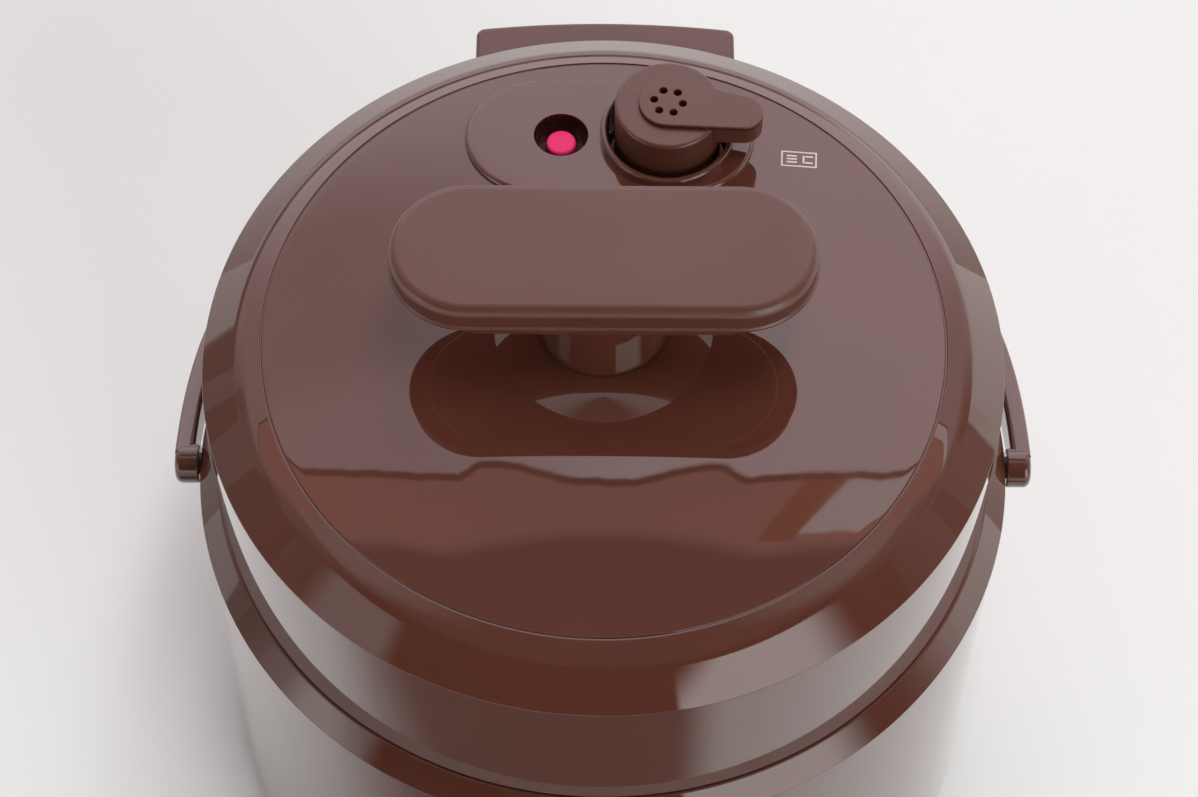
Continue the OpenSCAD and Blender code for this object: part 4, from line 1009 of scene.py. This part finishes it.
# %% [markdown]
# ## Softening the engineering solids
# The pots, the lock and the screws have the right form, but their edges are mathematically sharp. This
# helper copies a solid, melts its triangles back into flat faces, and bevels what is still sharp. That
# is quicker than modelling each one again, and it can't change a size.


# %% Softened copies
def softened(node, width):
    """A copy of a CAD solid with small round edges, which stands for it."""
    source = frame["nodes"][node]
    mesh = bmesh.new()
    mesh.from_mesh(source.data)
    bmesh.ops.remove_doubles(mesh, verts=mesh.verts, dist=2e-6)
    bmesh.ops.dissolve_limit(mesh, angle_limit=math.radians(0.6), verts=mesh.verts, edges=mesh.edges)
    finish = source.data.materials[0].name
    piece = keep(f"{node}_skin", mesh, source["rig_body"], finish, [node])
    bevel = piece.modifiers.new("edges", "BEVEL")
    bevel.width = width * MM
    bevel.segments = 2
    bevel.limit_method = "ANGLE"
    bevel.angle_limit = math.radians(40)
    bevel.use_clamp_overlap = True
    piece.modifiers.move(1, 0)
    return piece


EDGES = {
    "rubber_feet": 0.9, "base_screws": 0.2, "base_pan": 0.5, "bail_studs": 0.3, "power_inlet": 0.5,
    "hinge_bracket": 0.5, "hinge_pin": 0.3, "outer_pot": 0.4, "inner_pot": 0.3, "heating_plate": 0.4,
    "sensor_cap": 0.5, "lid_liner": 0.4, "lid_screws": 0.2, "inner_lid": 0.4, "lid_spacers": 0.3,
    "sealing_ring": 0.5, "steam_pipe": 0.3, "valve_strainer": 0.3, "lock_spider": 0.3, "lock_ring": 0.4,
    "spindle_nut": 0.4, "handle_screws": 0.2, "float_stem": 0.2, "valve_retainer": 0.3,
}
for node, width in EDGES.items():
    softened(node, width)
print(len(EDGES), "softened pieces made")

# %% [markdown]
# ## Level marks in the pot
# Short ribs on the inner wall show how full the pot is. A rib is a thin curved plate, so it is made from
# two arcs of points, and every second rib is longer, with the numbers left to the user's eye.

# %% Level ribs
pot_low, pot_high = box_mm("inner_pot")
POT_R, POT_WALL = 97, 1.6
POT_INNER_R = POT_R - POT_WALL
RIB_DEPTH, RIB_HEIGHT = 0.35, 0.8
RIB_PITCH = 10
ribs = bmesh.new()
for step in range(1, 9):
    spread = 9 if step % 2 == 0 else 5
    level = pot_low.z + 8 + RIB_PITCH * step
    near_arc = arc((0, 0), POT_INNER_R - RIB_DEPTH, 180 - spread, 180 + spread, 10)
    far_arc = arc((0, 0), POT_INNER_R + 0.2, 180 + spread, 180 - spread, 10)
    add_part(ribs, signs([[(p.x, p.y) for p in near_arc + far_arc]], level, level + RIB_HEIGHT))
keep("pot_level_ribs", ribs, "base", "aluminium")
print("ribs from", round(pot_low.z + 8 + RIB_PITCH, 1), "to", round(level, 1))

# %% [markdown]
# ## The studio
# A polished lid is a mirror, so most of what it shows is its surroundings. The world is therefore drawn
# by direction, in degrees of elevation and azimuth. A broad window stands behind the cooker, with a thin
# wavy rail across it and a ledge above. The rest is a quiet room, with two bright panels in front. Rays
# that come straight from the camera see one even backdrop instead.

# %% World light
RAIL_HEIGHT = 63.4
LEDGE_HEIGHT = 66.0
BACKDROP = 0.86
world = bpy.data.worlds.new("studio")
bpy.context.scene.world = world
world.use_nodes = True
world.node_tree.nodes.clear()
room = Finish(world.node_tree)
direction = room.node("ShaderNodeTexCoord", output="Generated")
side, forward, height = room.split(direction)
elevation = height.math("ARCSINE", height) * math.degrees(1)
azimuth = side.math("ARCTAN2", side, forward) * math.degrees(1)
off_centre = azimuth.math("ABSOLUTE", azimuth)

# The window behind: dimmer at the left and far to the sides, with a dark wavy rail along its top
wave = room.node("ShaderNodeTexNoise", {"noise_dimensions": "1D"}, W=azimuth, Scale=0.6, Detail=1.0)
swag = off_centre.between(2, 9) * (1 - off_centre.between(10, 12.5))
rail = wave * 0.2 - swag * 0.65 - off_centre * off_centre * 0.0055 + RAIL_HEIGHT
pane = 1 - elevation.between(rail - 0.03, rail + 0.03)
upper = elevation.between(rail + 0.33, rail + 0.39)
shaded = (1 - azimuth.between(-16, 4)) * elevation.between(44, 51) * (1 - elevation.between(55.5, 59) * 0.3)
narrow = 1 - off_centre.between(25, 48)
pane_light = (1.75 - shaded * 0.9) * (narrow * 0.55 + 0.45)
slant = azimuth + (elevation - RAIL_HEIGHT) * 0.83
past_bar = slant.between(18.8, 19.0)
frame_bar = slant.between(16.2, 16.4) * (1 - past_bar) * (1 - elevation.between(rail + 3.1, rail + 3.2))
bright = past_bar * (1 - elevation.between(rail + 2.8, rail + 2.9))
ledge_end = LEDGE_HEIGHT - off_centre.between(14, 23) * 1.6
ledge = 1 - elevation.between(ledge_end - 0.6, ledge_end + 0.5)
upper_light = ledge * 0.78 * (1 - bright) * (1 - frame_bar * 0.4) + bright * 1.6 + 0.08
above_sill = elevation.between(28, 36)
sill = above_sill + elevation.between(10, 14) * (1 - above_sill) * (1 - off_centre.between(50, 70))
opening = sill * (1 - off_centre.between(70, 84)) * (1 - elevation.between(74, 77))
window_light = pane * pane_light + upper * upper_light + 0.1

# The room: white near the floor, pale to the right, dark patches on the walls, two bright panels in front
in_front = off_centre.between(85, 120)
skirting = 1 - elevation.between(4.0, 4.4)
right_wall = azimuth.between(15, 25) * (1 - azimuth.between(92, 112)) * (1 - elevation.between(13, 13.6))
shapes = room.node("ShaderNodeTexNoise", Vector=direction, Scale=6.0, Detail=0.0)
furniture = shapes.between(0.50, 0.51) * elevation.between(4.4, 4.8) * (1 - elevation.between(30, 38))
pale = skirting.math("MAXIMUM", skirting, right_wall)
walls = pale * 0.6 + right_wall * 0.5 + (1 - furniture) * 0.15 + 0.2
right_window = azimuth.between(116, 130) * (1 - azimuth.between(160.5, 162.5))
right_window = right_window * (1 - elevation.between(39.5, 41))
left_window = azimuth.between(-131, -125) * (1 - azimuth.between(-112, -104))
left_window = left_window * (1 - elevation.between(34, 38))
skyline = (1 - azimuth.between(-10, 10)) * in_front * (1 - elevation.between(15, 18))
overhead = elevation.between(48, 53) * (1 - in_front * 0.7)
patches = right_window * 2.8 + left_window * 0.8 + skyline * 1.1
room_light = walls * (1 - in_front * 0.9) + patches + overhead * 0.35
light = opening * window_light + (1 - opening) * room_light
ray = room.tree.nodes.new("ShaderNodeLightPath")
seen = Flow(room.tree, ray.outputs["Is Camera Ray"])
strength = light * (1 - seen) + seen * BACKDROP
wood = opening * upper * ledge * (1 - bright)
glow = room.blend(opening * pane, (1.0, 1.0, 0.995, 1.0), (1.0, 0.90, 0.95, 1.0))
tint = room.blend(wood, glow, room.blend(frame_bar, (1.0, 0.58, 0.52, 1.0), (1.0, 0.45, 0.26, 1.0)))
background = room.node("ShaderNodeBackground", Color=tint, Strength=strength)
room.node("ShaderNodeOutputWorld", Surface=background)
print("world nodes:", len(world.node_tree.nodes))

# %% [markdown]
# ## The floor
# One large sheet, white enough to bounce light back under the lid, with a barely visible mottling. Its
# colour carries painted light: it is lighter to the right and towards the front. A soft brown patch of
# painted shade lies in front of the cooker, where the upright wall of the lid mirrors the floor. It
# keeps the front of that wall from turning as white as the sheet.

# %% Floor
floor_finish = new_finish("floor_white")
cloud = floor_finish.noise(600, detail=2)
across, along, _ = floor_finish.split(floor_finish.place())
# Painted light: the sheet's colour is made lighter towards the front and to the right.
painted_front_light = 1 - along.between(-0.10, 0.16)
lean = cloud * 0.15 + across.between(-0.3, 0.3) * 0.5 + painted_front_light * 0.4
pale = floor_finish.blend(lean, (0.79, 0.825, 0.81, 1), (0.935, 0.975, 0.955, 1))
# Painted shade: a dark brown patch on the floor in front of the cooker.
PAINTED_SHADE_COLOUR = (0.22, 0.15, 0.14, 1)
painted_shade = 1 - (along + across.between(0.02, 0.12) * 0.12).between(-0.17, -0.08)
painted_shade = painted_shade * along.between(-0.42, -0.36) * (1 - across.math("ABSOLUTE", across).between(0.24, 0.30))
feed(floor_finish, Base_Color=floor_finish.blend(painted_shade, pale, PAINTED_SHADE_COLOUR), Roughness=cloud * 0.1 + 0.55)
floor_mesh = bmesh.new()
FLOOR_HALF = 4.0
bmesh.ops.create_grid(floor_mesh, x_segments=8, y_segments=8, size=FLOOR_HALF)
floor_data = bpy.data.meshes.new("floor")
floor_mesh.to_mesh(floor_data)
floor_mesh.free()
floor = show("floor", floor_data)
floor_data.materials.append(floor_finish.material)
print(f"floor {2 * FLOOR_HALF:.0f} m wide")

# %% [markdown]
# ## A ceiling lamp
# A broad soft lamp hangs high above the cooker, a little to the right. It lights the floor and the matte
# tops. It is hidden from glossy rays, because its mirror image would be a white patch on the lid.

# %% Lamp
LAMP_WATTS = 19.6
LAMP_AIM = Vector((0, 0, 0.25))
lamp_data = bpy.data.lights.new("ceiling_lamp", "AREA")
lamp_data.shape = "RECTANGLE"
lamp_data.size = 1.2
lamp_data.size_y = 0.4
lamp_data.energy = LAMP_WATTS
lamp = show("ceiling_lamp", lamp_data)
lamp.visible_glossy = False
lamp.location = (0.3, -0.15, 2.4)
lamp.rotation_euler = (LAMP_AIM - lamp.location).to_track_quat("-Z", "Y").to_euler()
print("lamp at", tuple(round(v, 2) for v in lamp.location))

# %% [markdown]
# ## The camera
# It looks down on the lid from the front at about 58 degrees, from almost a metre away, with a long
# lens. Small turns for pan and roll make up for a camera that wasn't held quite straight.

# %% Camera
CAMERA_DISTANCE = 0.9529
CAMERA_RISE = math.radians(57.11)
CAMERA_TILT = math.radians(90 - 57.88)
CAMERA_PAN, CAMERA_ROLL = 0.00245, 0.0035
camera_data = bpy.data.cameras.new("camera")
camera_data.lens = 95.6
camera_data.sensor_width = 36.0
camera = show("camera", camera_data)
spot = Vector((0, -CAMERA_DISTANCE * math.cos(CAMERA_RISE),
               EDGE_Z * MM + CAMERA_DISTANCE * math.sin(CAMERA_RISE)))
tilted = Matrix.Rotation(CAMERA_TILT, 4, "X") @ Matrix.Rotation(CAMERA_ROLL, 4, "Z")
camera.matrix_world = Matrix.Translation(spot) @ (Matrix.Rotation(CAMERA_PAN, 4, "Z") @ tilted)
bpy.context.scene.camera = camera
bpy.context.scene.view_settings.view_transform = "Standard"
